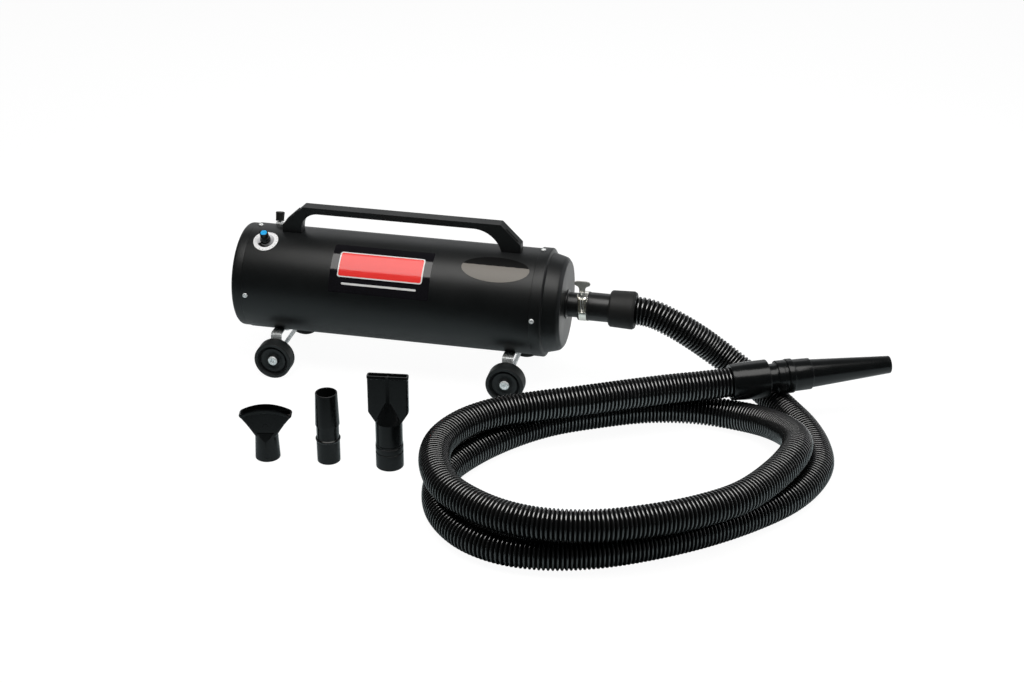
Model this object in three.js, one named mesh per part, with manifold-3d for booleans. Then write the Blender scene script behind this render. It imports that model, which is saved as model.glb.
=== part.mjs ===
// Canister pet dryer on four wheels, with a coiled corrugated hose and its nozzles.
// Millimetres, +Z up. +X runs from the intake end to the air outlet, -Y is the side with the name label.
// Places are given from the canister's axis and the floor. The last lines move the whole object so that
// its origin is the middle of its footprint on the floor, the hose and the pieces on it left out.

import * as THREE from 'three';
import { mergeVertices } from 'three/addons/utils/BufferGeometryUtils.js';
import Module from 'manifold-3d';

const wasm = await Module();
wasm.setup();

// ---------------------------------------------------------------- driving dimensions

const GAP = 0.3;                 // clearance between touching pieces
const FOOTPRINT_X = -13.65;      // middle of the footprint
const FOOTPRINT_Y = -159.55;

const CANISTER_R = 105;
const CANISTER_Z = 172.3;        // height of the canister's axis
const SHEET = 2.5;               // wall of the canister and its covers
const HOUSING_X0 = -380.7;
const HOUSING_X1 = 214;
const SHELL_SIDES = 32;

const REAR_FACE_X = -402.3;
const REAR_SCREW_X = -372;
const FRONT_BAND_X = 200.3;
const FRONT_BAND_R = 107.5;
const FRONT_STEP_X = 221.5;
const FRONT_FACE_X = 256;
const FRONT_SCREW_X = 206;

const HANDLE_WIDTH = 24;
const HANDLE_TOP = 333 - CANISTER_Z;
const HANDLE_BAR = 12.8;
const HANDLE_REAR_X = -319.5;
const HANDLE_FRONT_X = 164;
const HANDLE_FOOT_Z = 293 - CANISTER_Z;

const WHEEL_R = 37.8;
const WHEEL_WIDTH = 29;
const WHEEL_FACE_Y = 114.4;      // outer face, both sides
const WHEEL_X = { rear: -319.9, front: 154.5 };
const AXLE_R = 4;
const STRAP_WIDTH = 22;
const STRAP = 2.5;

const KNOB_X = -345;
const KNOB_TILT = 24;            // degrees from the top towards -Y
const SWITCH_X = -340;
const SWITCH_TILT = -17;

const OUTLET_R = 24.3;
const BORE_R = 21;
const ADAPTER_X0 = 279.5;
const CUFF_X0 = 341.5;
const CUFF_X1 = 389;
const ADAPTER_R = 28;
const CLAMP_X = 291;
const CLAMP_SCREW_Y = -35;

const HOSE_R = 28.5;
const NOZZLE_LAY = { yaw: 23, pitch: 1.8 };   // how the blower nozzle lies, degrees

const FLARE_AT = [-229.7, -410.8];
const STRAIGHT_AT = [-115.6, -397.6];
const FLAT_AT = [0, -391.8];

// ---------------------------------------------------------------- materials

const finish = (color, roughness, metalness) =>
  new THREE.MeshStandardMaterial({ color, roughness, metalness });
const POWDER_COAT = finish(0x1b1c1d, 0.5, 0.1);
const PLASTIC = finish(0x121314, 0.38, 0);
const RUBBER = finish(0x141414, 0.75, 0);
const HOSE_PLASTIC = finish(0x17181a, 0.32, 0);
const ZINC = finish(0xb9c0c4, 0.32, 0.9);
const STAINLESS = finish(0xd0cdc4, 0.25, 0.95);
const DULL_METAL = finish(0x7c8079, 0.6, 0.7);
const DIAL_SILVER = finish(0xe4e4e6, 0.4, 0.2);
const BLUE = finish(0x2f9be0, 0.35, 0);
const LABEL = finish(0x0b0b0c, 0.18, 0);
const LABEL_TAUPE = finish(0x8b867e, 0.3, 0);
const FOAM = finish(0x2b2c2e, 0.95, 0);
const ALUMINIUM = finish(0xa9acad, 0.45, 0.8);
const COPPER = finish(0x9a5a32, 0.4, 0.8);

// ---------------------------------------------------------------- solids and placing

/** The same geometry with shared vertices, its faces pointing out. */
function closed(geometry) {
  const flat = geometry.clone();
  flat.deleteAttribute('normal');
  flat.deleteAttribute('uv');
  const merged = mergeVertices(flat, 1e-4);
  const p = merged.getAttribute('position');
  const index = merged.getIndex();
  const [a, b, c] = [new THREE.Vector3(), new THREE.Vector3(), new THREE.Vector3()];
  const kept = [];
  let volume = 0;
  for (let i = 0; i < index.count; i += 3) {
    const t = [index.getX(i), index.getX(i + 1), index.getX(i + 2)];
    if (t[0] === t[1] || t[1] === t[2] || t[0] === t[2]) continue;
    kept.push(t);
    a.fromBufferAttribute(p, t[0]);
    b.fromBufferAttribute(p, t[1]);
    c.fromBufferAttribute(p, t[2]);
    volume += a.dot(b.cross(c));
  }
  merged.setIndex(kept.flatMap(([i, j, k]) => (volume < 0 ? [i, k, j] : [i, j, k])));
  return merged;
}

/** A manifold solid from a three.js geometry. */
function solid(geometry) {
  const mesh = closed(geometry);
  return new wasm.Manifold(new wasm.Mesh({
    numProp: 3,
    vertProperties: Float32Array.from(mesh.getAttribute('position').array),
    triVerts: Uint32Array.from(mesh.getIndex().array),
  }));
}

/** A three.js geometry from a manifold solid. */
function geometryOf(body) {
  const { vertProperties, triVerts } = body.getMesh();
  const geometry = new THREE.BufferGeometry();
  geometry.setAttribute('position', new THREE.BufferAttribute(Float32Array.from(vertProperties), 3));
  geometry.setIndex(new THREE.BufferAttribute(Uint32Array.from(triVerts), 1));
  return geometry;
}

/** base with every added piece joined to it and every cut piece taken out of it. */
function carve(base, { add = [], cut = [] }) {
  let body = solid(base);
  for (const piece of add) body = body.add(solid(piece));
  for (const piece of cut) body = body.subtract(solid(piece));
  return geometryOf(body);
}

/** A turned solid about the X axis from [x, radius] points; it closes on itself or on the axis. */
function turnedX(points, sides = 20) {
  const profile = points.map(([x, r]) => new THREE.Vector2(r, x));
  if (points[0][1] > 0) profile.push(profile[0].clone());
  return new THREE.LatheGeometry(profile, sides).rotateZ(-Math.PI / 2);
}

/** A turned solid about the Z axis from [radius, z] points. */
function turnedZ(points, sides = 16) {
  return turnedX(points.map(([r, z]) => [z, r]), sides).rotateY(-Math.PI / 2);
}

/** A turned solid about the Y axis from [radius, y] points. */
function turnedY(points, sides = 12) {
  return turnedZ(points, sides).rotateX(-Math.PI / 2);
}

/** [x, radius] corners of a plain ring or tube, and of a plain rod. */
const ring = (x0, x1, rIn, rOut) => [[x0, rIn], [x1, rIn], [x1, rOut], [x0, rOut]];
const rod = (x0, x1, r) => [[x0, 0], [x0, r], [x1, r], [x1, 0]];

/** A pin along +Z from z0 to z1. */
const pin = (r, z0, z1, sides = 12) => turnedZ([[0, z0], [r, z0], [r, z1], [0, z1]], sides);

/** A box from its lowest to its highest corner. */
function block([x0, y0, z0], [x1, y1, z1]) {
  return new THREE.BoxGeometry(x1 - x0, y1 - y0, z1 - z0)
    .translate((x0 + x1) / 2, (y0 + y1) / 2, (z0 + z1) / 2);
}

/** An outline drawn in X and Z, given thickness along Y from y0 to y1. */
function plateXZ(shape, y0, y1, curveSegments = 5) {
  const plate = new THREE.ExtrudeGeometry(shape, { depth: y1 - y0, bevelEnabled: false, curveSegments });
  return plate.rotateX(Math.PI / 2).translate(0, y1, 0);
}

/** Points on an arc, [centre + r cos, centre + r sin], angles in degrees. */
function arc([cx, cy], r, from, to, steps) {
  return Array.from({ length: steps + 1 }, (_, i) => {
    const angle = THREE.MathUtils.degToRad(from + ((to - from) * i) / steps);
    return [cx + r * Math.cos(angle), cy + r * Math.sin(angle)];
  });
}

const root = new THREE.Group();
const canister = new THREE.Group();
canister.position.set(0, 0, CANISTER_Z);
root.add(canister);

/** Adds a named piece to a group. */
function piece(name, geometry, material, parent = root) {
  const mesh = new THREE.Mesh(closed(geometry), material);
  mesh.name = name;
  parent.add(mesh);
  return mesh;
}

/** A group on the canister's wall: local +Z points straight out, z = 0 on the wall. */
function onWall(x, tiltDegrees) {
  const place = new THREE.Group();
  const tilt = THREE.MathUtils.degToRad(tiltDegrees);
  place.position.set(x, -CANISTER_R * Math.sin(tilt), CANISTER_R * Math.cos(tilt));
  place.rotation.x = tilt;
  canister.add(place);
  return place;
}

/** A geometry drawn for onWall, moved into the canister's own frame, for cutting. */
function wallCut(geometry, x, tiltDegrees) {
  return geometry.clone().translate(0, 0, CANISTER_R)
    .rotateX(THREE.MathUtils.degToRad(tiltDegrees)).translate(x, 0, 0);
}

// ---------------------------------------------------------------- canister and covers

const SCREW_ANGLES = { rear: [-5, 89, 178, 268], front: [-4.4, 85.6, 175.6, 265.6] };
const SCREW_SHANK_R = 2;
const SHANK_HOLE = pin(SCREW_SHANK_R + GAP, -14, 6, 8);
const shankHoles = (x, angles) => angles.map((angle) => wallCut(SHANK_HOLE, x, angle));

const HANDLE_BOLT_X = { rear: -302, front: 147 };
const BOLT_R = 2.5;
const BOLT_HOLE = pin(BOLT_R + GAP, -10, 14, 8);

function mainHousing() {
  const tube = turnedX(ring(HOUSING_X0, HOUSING_X1, CANISTER_R - SHEET, CANISTER_R), SHELL_SIDES);
  return carve(tube, {
    cut: [
      ...shankHoles(REAR_SCREW_X, SCREW_ANGLES.rear),
      ...shankHoles(FRONT_SCREW_X, SCREW_ANGLES.front),
      wallCut(BOLT_HOLE, HANDLE_BOLT_X.rear, 0),
      wallCut(BOLT_HOLE, HANDLE_BOLT_X.front, 0),
      wallCut(BOLT_HOLE, WHEEL_X.rear, 180),
      wallCut(BOLT_HOLE, WHEEL_X.front, 180),
      wallCut(pin(5.2, -8, 4), KNOB_X, KNOB_TILT),
      wallCut(pin(5.8, -8, 4), SWITCH_X, SWITCH_TILT),
    ],
  });
}

const FRONT_CORNER_R = 11;

function frontCover() {
  const hole = OUTLET_R + GAP;
  const outer = [
    [FRONT_BAND_X, CANISTER_R + GAP], [FRONT_BAND_X, FRONT_BAND_R],
    [FRONT_STEP_X - 2, FRONT_BAND_R],
    [FRONT_STEP_X + 1, 97.8],
    ...arc([FRONT_FACE_X - FRONT_CORNER_R, 81.5], FRONT_CORNER_R, 80, 0, 2), [FRONT_FACE_X, hole],
  ];
  const inner = [
    [FRONT_FACE_X - SHEET, hole],
    ...arc([FRONT_FACE_X - FRONT_CORNER_R, 81.5], FRONT_CORNER_R - SHEET, 0, 80, 1),
    [FRONT_STEP_X - 2, 95.2], [FRONT_STEP_X - 2, CANISTER_R + GAP],
  ];
  return carve(turnedX([...outer, ...inner], SHELL_SIDES), { cut: shankHoles(FRONT_SCREW_X, SCREW_ANGLES.front) });
}

const REAR_COVER_R = 103.8;
const SKIRT_R = CANISTER_R - SHEET - GAP;
const GLAND_DROP = 72;           // cord gland below the axis
const INTAKE_SLOTS = 12;

function rearCover() {
  const corner = 6.5;
  const profile = [
    [REAR_FACE_X, 0], ...arc([REAR_FACE_X + corner, REAR_COVER_R - corner], corner, 180, 90, 2),
    [HOUSING_X0 - GAP, REAR_COVER_R], [HOUSING_X0 - GAP, SKIRT_R], [HOUSING_X0 + 22, SKIRT_R],
    [HOUSING_X0 + 22, SKIRT_R - SHEET], [REAR_FACE_X + 5.5, SKIRT_R - SHEET],
    [REAR_FACE_X + SHEET, SKIRT_R - 5.5], [REAR_FACE_X + SHEET, 0],
  ];
  const slots = [];
  for (let i = 1; i < INTAKE_SLOTS; i++) {
    const slot = block([REAR_FACE_X - 2, -3, -84], [REAR_FACE_X + 4, 3, -36]);
    slots.push(slot.rotateX((2 * Math.PI * i) / INTAKE_SLOTS));
  }
  const cordHole = turnedX(rod(REAR_FACE_X - 2, REAR_FACE_X + 4, 7), 20).translate(0, 0, -GLAND_DROP);
  const screwHoles = shankHoles(REAR_SCREW_X, SCREW_ANGLES.rear);
  return carve(turnedX(profile, SHELL_SIDES), { cut: [...slots, cordHole, ...screwHoles] });
}

function cordGland() {
  const x = REAR_FACE_X;
  const profile = [
    [x - 14, 4.2], [x - 14, 7], [x - 4.3, 9], [x - GAP, 11], [x - GAP, 6.7],
    [x + SHEET + 3, 6.7], [x + SHEET + 3, 4.2],
  ];
  return turnedX(profile, 20).translate(0, 0, -GLAND_DROP);
}

piece('main_housing', mainHousing(), POWDER_COAT, canister);
piece('front_cover', frontCover(), POWDER_COAT, canister);
piece('rear_cover', rearCover(), POWDER_COAT, canister);
piece('cord_gland', cordGland(), RUBBER, canister);

/** Pan head screw, head above z = seat, shank down to z = tip. */
function panScrew(headR, headH, shankR, seat, tip, sides = 8) {
  return turnedZ([
    [0, tip], [shankR, tip], [shankR, seat], [headR, seat], [headR * 0.8, seat + headH], [0, seat + headH],
  ], sides);
}

const FRONT_BAND_STEP = FRONT_BAND_R - CANISTER_R;
for (let i = 0; i < 4; i++) {
  const frontScrew = panScrew(4.8, 2.6, SCREW_SHANK_R, FRONT_BAND_STEP + GAP, -7);
  const rearScrew = panScrew(4.8, 2.6, SCREW_SHANK_R, GAP, -8);
  piece(`front_cover_screw_${i + 1}`, frontScrew, ZINC, onWall(FRONT_SCREW_X, SCREW_ANGLES.front[i]));
  piece(`rear_cover_screw_${i + 1}`, rearScrew, ZINC, onWall(REAR_SCREW_X, SCREW_ANGLES.rear[i]));
}

// ---------------------------------------------------------------- handle

const REAR_FILLET = 35;
const FRONT_FILLET = 58;
const REAR_LEG = 39;             // length of the rear foot along X
const FRONT_LEG = 36.5;
const REAR_SLOPE_X = 44;

function handle() {
  const under = HANDLE_TOP - HANDLE_BAR;
  const slope = HANDLE_TOP - HANDLE_FOOT_Z;
  const rearInner = HANDLE_REAR_X + REAR_LEG;
  const frontInner = HANDLE_FRONT_X - FRONT_LEG;
  const outline = new THREE.Shape();
  outline.moveTo(HANDLE_REAR_X, 85);
  outline.lineTo(HANDLE_REAR_X, HANDLE_FOOT_Z);
  outline.lineTo(HANDLE_REAR_X + REAR_SLOPE_X, HANDLE_TOP);
  outline.lineTo(HANDLE_FRONT_X - slope, HANDLE_TOP);
  outline.lineTo(HANDLE_FRONT_X, HANDLE_FOOT_Z);
  outline.lineTo(HANDLE_FRONT_X, 85);
  outline.lineTo(frontInner, 85);
  outline.lineTo(frontInner, under - FRONT_FILLET);
  outline.absarc(frontInner - FRONT_FILLET, under - FRONT_FILLET, FRONT_FILLET, 0, Math.PI / 2, false);
  outline.lineTo(rearInner + REAR_FILLET, under);
  outline.absarc(rearInner + REAR_FILLET, under - REAR_FILLET, REAR_FILLET, Math.PI / 2, Math.PI, false);
  outline.lineTo(rearInner, 85);
  const bar = plateXZ(outline, -HANDLE_WIDTH / 2, HANDLE_WIDTH / 2);
  const wall = turnedX(rod(-400, 300, CANISTER_R + GAP), SHELL_SIDES);
  const cut = [wall, wallCut(BOLT_HOLE, HANDLE_BOLT_X.rear, 0), wallCut(BOLT_HOLE, HANDLE_BOLT_X.front, 0)];
  return carve(bar, { cut });
}

piece('handle', handle(), PLASTIC, canister);
for (const [end, x] of Object.entries(HANDLE_BOLT_X)) {
  const bolt = panScrew(5.5, 3.5, BOLT_R, 0, -16).rotateX(Math.PI).translate(0, 0, -SHEET - 1);
  piece(`handle_bolt_${end}`, bolt, ZINC, onWall(x, 0));
}

// ---------------------------------------------------------------- wheels, axles and brackets

const HUB_Y = 26.1;              // hub face, from the wheel's inner face
const LEG_Y = WHEEL_FACE_Y - WHEEL_WIDTH - 1;   // outer face of a bracket leg
const WHEEL_PROFILE = [
  [AXLE_R + GAP, 0], [34.5, 0], [WHEEL_R, 5], [WHEEL_R, 24], [35, WHEEL_WIDTH], [30.5, WHEEL_WIDTH],
  [26, 21.5], [14, 21.5], [10.8, HUB_Y], [AXLE_R + GAP, HUB_Y],
];

const SADDLE_ANGLE = 28;         // how far the strap follows the canister, degrees each way
const SHOULDER_Z = 79.3;         // top of the flat shoulders

/** Strap that follows the canister's underside, then runs level and bends down to the axle. */
function bracket() {
  const half = STRAP_WIDTH / 2;
  const hug = CANISTER_R + GAP;
  const outside = arc([0, CANISTER_Z], hug + STRAP, 270 - SADDLE_ANGLE, 270 + SADDLE_ANGLE, 8);
  const inside = arc([0, CANISTER_Z], hug, 270 + SADDLE_ANGLE, 270 - SADDLE_ANGLE, 8);
  const [legIn, low] = [LEG_Y - STRAP, WHEEL_R - half - 1];
  const section = new THREE.Shape([
    ...outside, [legIn, SHOULDER_Z - STRAP], [legIn, low], [LEG_Y, low], [LEG_Y, SHOULDER_Z],
    ...inside, [-LEG_Y, SHOULDER_Z], [-LEG_Y, low], [-legIn, low], [-legIn, SHOULDER_Z - STRAP],
  ].map(([y, z]) => new THREE.Vector2(z, y)));
  const toUpright = new THREE.Matrix4().makeBasis(
    new THREE.Vector3(0, 0, 1), new THREE.Vector3(0, 1, 0), new THREE.Vector3(-1, 0, 0));
  const strap = new THREE.ExtrudeGeometry(section, { depth: STRAP_WIDTH, bevelEnabled: false })
    .applyMatrix4(toUpright).translate(half, 0, 0);
  const front = new THREE.Shape();
  front.moveTo(-half, CANISTER_Z);
  front.lineTo(-half, WHEEL_R);
  front.absarc(0, WHEEL_R, half, Math.PI, 2 * Math.PI, false);
  front.lineTo(half, CANISTER_Z);
  const rounded = solid(strap).intersect(solid(plateXZ(front, -100, 100)));
  const hole = turnedY([[0, -100], [AXLE_R + GAP, -100], [AXLE_R + GAP, 100], [0, 100]], 16)
    .translate(0, 0, WHEEL_R);
  const boltHole = pin(BOLT_R + GAP, CANISTER_Z - CANISTER_R - 10, CANISTER_Z - CANISTER_R + 2, 12);
  return carve(geometryOf(rounded), { cut: [hole, boltHole] });
}

function axle() {
  const end = WHEEL_FACE_Y - WHEEL_WIDTH + HUB_Y - 0.5;
  const bore = SCREW_SHANK_R + GAP;
  const profile = [
    [0, -end + 10], [bore, -end + 10], [bore, -end], [AXLE_R, -end],
    [AXLE_R, end], [bore, end], [bore, end - 10], [0, end - 10],
  ];
  return turnedY(profile, 16);
}

/** Turns +Z to point out of the machine on one side. */
const outwards = (geometry, side) => geometry.rotateX((-side * Math.PI) / 2);

for (const [end, x] of Object.entries(WHEEL_X)) {
  piece(`bracket_${end}`, bracket(), ZINC).position.set(x, 0, 0);
  piece(`axle_${end}`, axle(), ZINC).position.set(x, 0, WHEEL_R);
  const strapBolt = panScrew(5.5, 3.5, BOLT_R, 0, -12).rotateX(Math.PI);
  const boltZ = CANISTER_Z - CANISTER_R - STRAP - 2 * GAP;
  piece(`bracket_bolt_${end}`, strapBolt, ZINC).position.set(x, 0, boltZ);
  for (const [hand, side] of [['left', 1], ['right', -1]]) {
    const inner = side * (WHEEL_FACE_Y - WHEEL_WIDTH);
    const wheel = piece(`wheel_${end}_${hand}`, outwards(turnedZ(WHEEL_PROFILE, 20), side), RUBBER);
    wheel.position.set(x, inner, WHEEL_R);
    const screw = outwards(panScrew(9.5, 3.4, SCREW_SHANK_R, HUB_Y + GAP, HUB_Y - 8, 10), side);
    piece(`axle_screw_${end}_${hand}`, screw, ZINC).position.set(x, inner, WHEEL_R);
  }
}

// ---------------------------------------------------------------- speed knob and switch

const LABEL_THICKNESS = 0.5;
const LABEL_R = CANISTER_R + GAP;

/** The part of a thin skin round the canister that lies under a radial stamp. */
function skinPatch(stamp, x, tilt) {
  const skin = turnedX(ring(HOUSING_X0, FRONT_BAND_X - 1, LABEL_R, LABEL_R + LABEL_THICKNESS), SHELL_SIDES);
  return geometryOf(solid(skin).intersect(solid(wallCut(stamp, x, tilt))));
}

function dialPlate() {
  const stamp = turnedZ([[5.2, -6], [5.2, 6], [25, 6], [25, -6]], 20);
  return skinPatch(stamp, KNOB_X, KNOB_TILT);
}

const KNOB_TOP = 22.3;
const SHAFT_R = 3;

function speedKnob() {
  return turnedZ([
    [SHAFT_R + GAP, 1.6], [SHAFT_R + GAP, 14], [2.3, 14], [2.3, KNOB_TOP], [7.6, KNOB_TOP],
    [8.1, KNOB_TOP - 0.8], [8.8, 9], [10.4, 6.5], [10.7, 1.6],
  ]);
}

piece('dial_plate', dialPlate(), DIAL_SILVER, canister);
const knobPlace = onWall(KNOB_X, KNOB_TILT);
piece('speed_knob', speedKnob(), PLASTIC, knobPlace);
const capProfile = [
  [0, 16], [2, 16], [2, KNOB_TOP + GAP], [6.5, KNOB_TOP + GAP], [6.5, 23.8], [5.6, 24.6], [0, 24.6],
];
piece('knob_cap', turnedZ(capProfile), BLUE, knobPlace);
const controlBody = turnedZ([
  [0, -24], [12, -24], [12, -6], [4.8, -6], [4.8, 1.2], [SHAFT_R + GAP, 1.2], [SHAFT_R + GAP, -10],
  [0, -10],
]);
piece('speed_control', controlBody, ALUMINIUM, knobPlace);
piece('control_shaft', pin(SHAFT_R, -9.5, 13.6, 16), ALUMINIUM, knobPlace);

const switchPlace = onWall(SWITCH_X, SWITCH_TILT);
const BUSHING_R = 5.5;
const LEVER_R = 2.2;
const hexagon = turnedZ([[0, 0.4], [8.2, 0.4], [8.2, 5.2], [0, 5.2]], 6);
piece('switch_nut', carve(hexagon, { cut: [pin(BUSHING_R + GAP, -1, 7, 16)] }), ZINC, switchPlace);
const switchBody = turnedZ([
  [0, -30], [10, -30], [10, -6], [BUSHING_R, -6], [BUSHING_R, 5.6], [3.9, 5.6], [3.9, -6], [0, -6],
]);
piece('switch_body', switchBody, PLASTIC, switchPlace);
piece('switch_lever', pin(LEVER_R, -3, 20, 12), ZINC, switchPlace);
const bootProfile = [
  [0, 20.3], [LEVER_R + GAP, 20.3], [LEVER_R + GAP, 12], [6.2, 7.4], [8.6, 7.4], [8.85, 24.2],
  [7.6, 25.4], [0, 25.4],
];
piece('switch_boot', turnedZ(bootProfile), RUBBER, switchPlace);

// ---------------------------------------------------------------- labels

const NAME_LABEL = { x0: -201, x1: 0, from: 20, to: 75 };
const POWER_LABEL = { x: 124, tilt: 33, length: 134, width: 57 };

function nameLabel() {
  const { x0, x1, from, to } = NAME_LABEL;
  const inside = arc([0, 0], LABEL_R, from, to, 12);
  const outside = arc([0, 0], LABEL_R + LABEL_THICKNESS, to, from, 12);
  const section = new THREE.Shape([...inside, ...outside].map(([up, near]) => new THREE.Vector2(up, near)));
  const strip = new THREE.ExtrudeGeometry(section, { depth: x1 - x0, bevelEnabled: false });
  const toCanister = new THREE.Matrix4().makeBasis(
    new THREE.Vector3(0, 0, 1), new THREE.Vector3(0, -1, 0), new THREE.Vector3(1, 0, 0));
  return strip.applyMatrix4(toCanister).translate(x0, 0, 0);
}

function powerLabel() {
  const { x, tilt, length, width } = POWER_LABEL;
  const oval = new THREE.Shape().absellipse(0, 0, length / 2, width / 2, 0, 2 * Math.PI, false, 0);
  const stamp = new THREE.ExtrudeGeometry(oval, { depth: 20, bevelEnabled: false, curveSegments: 10 });
  return skinPatch(stamp.translate(0, 0, -12), x, tilt);
}

piece('name_label', nameLabel(), LABEL, canister);
piece('power_label', powerLabel(), LABEL_TAUPE, canister);

// ---------------------------------------------------------------- air outlet, clamp and hose cuff

const TUBE_X1 = 301;
const FLANGE_X = FRONT_FACE_X + GAP;
const outletProfile = [
  [244, BORE_R], [TUBE_X1, BORE_R], [TUBE_X1, OUTLET_R], [FLANGE_X + 2, OUTLET_R], [FLANGE_X + 2, 29],
  [FLANGE_X, 29], [FLANGE_X, OUTLET_R], [244, OUTLET_R],
];
piece('outlet_tube', turnedX(outletProfile), PLASTIC, canister);

const adapterProfile = [
  [ADAPTER_X0, OUTLET_R + GAP], [TUBE_X1 + 1, OUTLET_R + GAP], [TUBE_X1 + 1, BORE_R], [374, BORE_R],
  [374, ADAPTER_R], [ADAPTER_X0, ADAPTER_R],
];
piece('hose_adapter', turnedX(adapterProfile), PLASTIC, canister);

const BAND_R = ADAPTER_R + GAP + 1.2;
const bandProfile = ring(CLAMP_X - 7.5, CLAMP_X + 7.5, ADAPTER_R + GAP, BAND_R);
piece('clamp_band', turnedX(bandProfile), STAINLESS, canister);

const WORM_R = 3.6;
function clampScrewHousing() {
  const insideBand = turnedX(rod(CLAMP_X - 20, CLAMP_X + 20, BAND_R + GAP));
  const shell = block([CLAMP_X - 7, CLAMP_SCREW_Y - 5.5, 6], [CLAMP_X + 7, -24, 34]);
  const bore = pin(WORM_R + GAP, 0, 40, 16).translate(CLAMP_X, CLAMP_SCREW_Y, 0);
  return carve(shell, { cut: [insideBand, bore] });
}

function clampThumbscrew() {
  const wing = new THREE.Shape();
  wing.moveTo(-4.5, 47);
  wing.lineTo(4.5, 47);
  wing.quadraticCurveTo(6.5, 57, 15.5, 60);
  wing.quadraticCurveTo(17, 66, 12, 69);
  wing.lineTo(-12, 69);
  wing.quadraticCurveTo(-17, 66, -15.5, 60);
  wing.quadraticCurveTo(-6.5, 57, -4.5, 47);
  const worm = turnedZ([[0, 2], [WORM_R, 2], [WORM_R, 36], [5.5, 36], [5.5, 48], [0, 48]], 16);
  return carve(worm, { add: [plateXZ(wing, -1.5, 1.5, 5)] });
}

piece('clamp_screw_housing', clampScrewHousing(), STAINLESS, canister);
piece('clamp_thumbscrew', clampThumbscrew(), DULL_METAL, canister).position.set(CLAMP_X, CLAMP_SCREW_Y, 0);

const inletCuffProfile = [
  [CUFF_X0, ADAPTER_R + GAP], [374.5, ADAPTER_R + GAP], [374.5, BORE_R], [CUFF_X1, BORE_R], [CUFF_X1, 35],
  [CUFF_X1 - 2.5, 37.4], [CUFF_X0 + 2.5, 36.4], [CUFF_X0, 34],
];
piece('inlet_cuff', turnedX(inletCuffProfile), RUBBER, canister);

// ---------------------------------------------------------------- hose: two loose turns on the floor

const HOSE_ROUTE = [
  [390.8, 0, 172.3], [410, 0, 171.5], [434, 0, 166], [458, 0, 156], [482, 1, 144], [515, 5, 123],
  [547, 9, 100], [601, 2, 66], [658, -36, 41], [703, -84, 30], [739, -142, 29.5], [764, -205, 29],
  [774, -268, 29], [762, -330, 29], [730, -397, 29], [672, -468, 29], [592, -541, 29],
  [500, -604, 29], [420, -644, 29], [340, -665, 29], [265, -662, 29], [200, -634, 29],
  [148, -580, 29], [122, -516, 29], [117, -440, 29], [144, -368, 29], [196, -289, 29],
  [262, -222, 29], [346, -170, 29], [440, -127, 29], [530, -111, 29], [617, -122, 31],
  [680, -166, 45], [728, -257, 72], [733, -330, 86], [708, -412, 87], [656, -506, 87],
  [590, -567, 87], [510, -616, 87], [430, -650, 87], [350, -664, 87], [280, -657, 87],
  [215, -630, 87], [155, -583, 87], [116, -510, 87], [107, -436, 87], [132, -365, 87],
  [185, -306, 87], [255, -264, 87], [335, -225, 88], [415, -182, 88], [490, -145, 88.5],
  [545, -122, 89.2], [587, -104.1, 90.5], [601, -98.2, 91],
];

function hose() {
  const round = new THREE.Shape().absarc(0, 0, HOSE_R, 0, 2 * Math.PI, false);
  const points = HOSE_ROUTE.map((point) => new THREE.Vector3(...point));
  const extrudePath = new THREE.CatmullRomCurve3(points, false, 'centripetal');
  const options = { steps: 64, curveSegments: 4, bevelEnabled: false, extrudePath };
  return new THREE.ExtrudeGeometry(round, options);
}

piece('hose', hose(), HOSE_PLASTIC);

// ---------------------------------------------------------------- end cuff, swivel and blower nozzle

const tip = new THREE.Group();
tip.position.set(...HOSE_ROUTE.at(-1));
tip.rotation.order = 'ZYX';
tip.rotation.z = THREE.MathUtils.degToRad(NOZZLE_LAY.yaw);
tip.rotation.y = -THREE.MathUtils.degToRad(NOZZLE_LAY.pitch);
root.add(tip);

const TIP_BORE = 19;
const END_CUFF_X1 = 68;
const endCuffProfile = [
  [GAP, 20], [10, 20], [10, TIP_BORE], [50, TIP_BORE], [50, 27.3], [END_CUFF_X1, 27.3], [END_CUFF_X1, 33.4],
  [END_CUFF_X1 - 1.5, 34.4], [2.3, 33], [GAP, 31.5],
];
piece('end_cuff', turnedX(endCuffProfile), PLASTIC, tip);
const swivelProfile = [
  [52, TIP_BORE], [142, TIP_BORE], [142, 24], [105, 24.6], [105, 31.8], [86, 31.8], [86, 26.8], [52, 26.8],
];
piece('swivel_connector', turnedX(swivelProfile), PLASTIC, tip);
const blowerProfile = [
  [106, 25], [143, 25], [146, 22], [314, 14], [314, 16.9], [153, 27.4], [152.5, 30.3], [118, 31],
  [117.5, 33.2], [106, 33.2],
];
piece('blower_nozzle', turnedX(blowerProfile), PLASTIC, tip);

// ---------------------------------------------------------------- nozzles that stand on the floor

function straightNozzle() {
  return turnedZ([
    [19, 0], [18.5, 141], [21.2, 141], [23.2, 77], [21.7, 76], [21.7, 48], [23.5, 47], [22.3, 42], [22, 0],
  ]);
}

const BLADE = { width: 76.5, depth: 15, z0: 113, z1: 187 };

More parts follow.
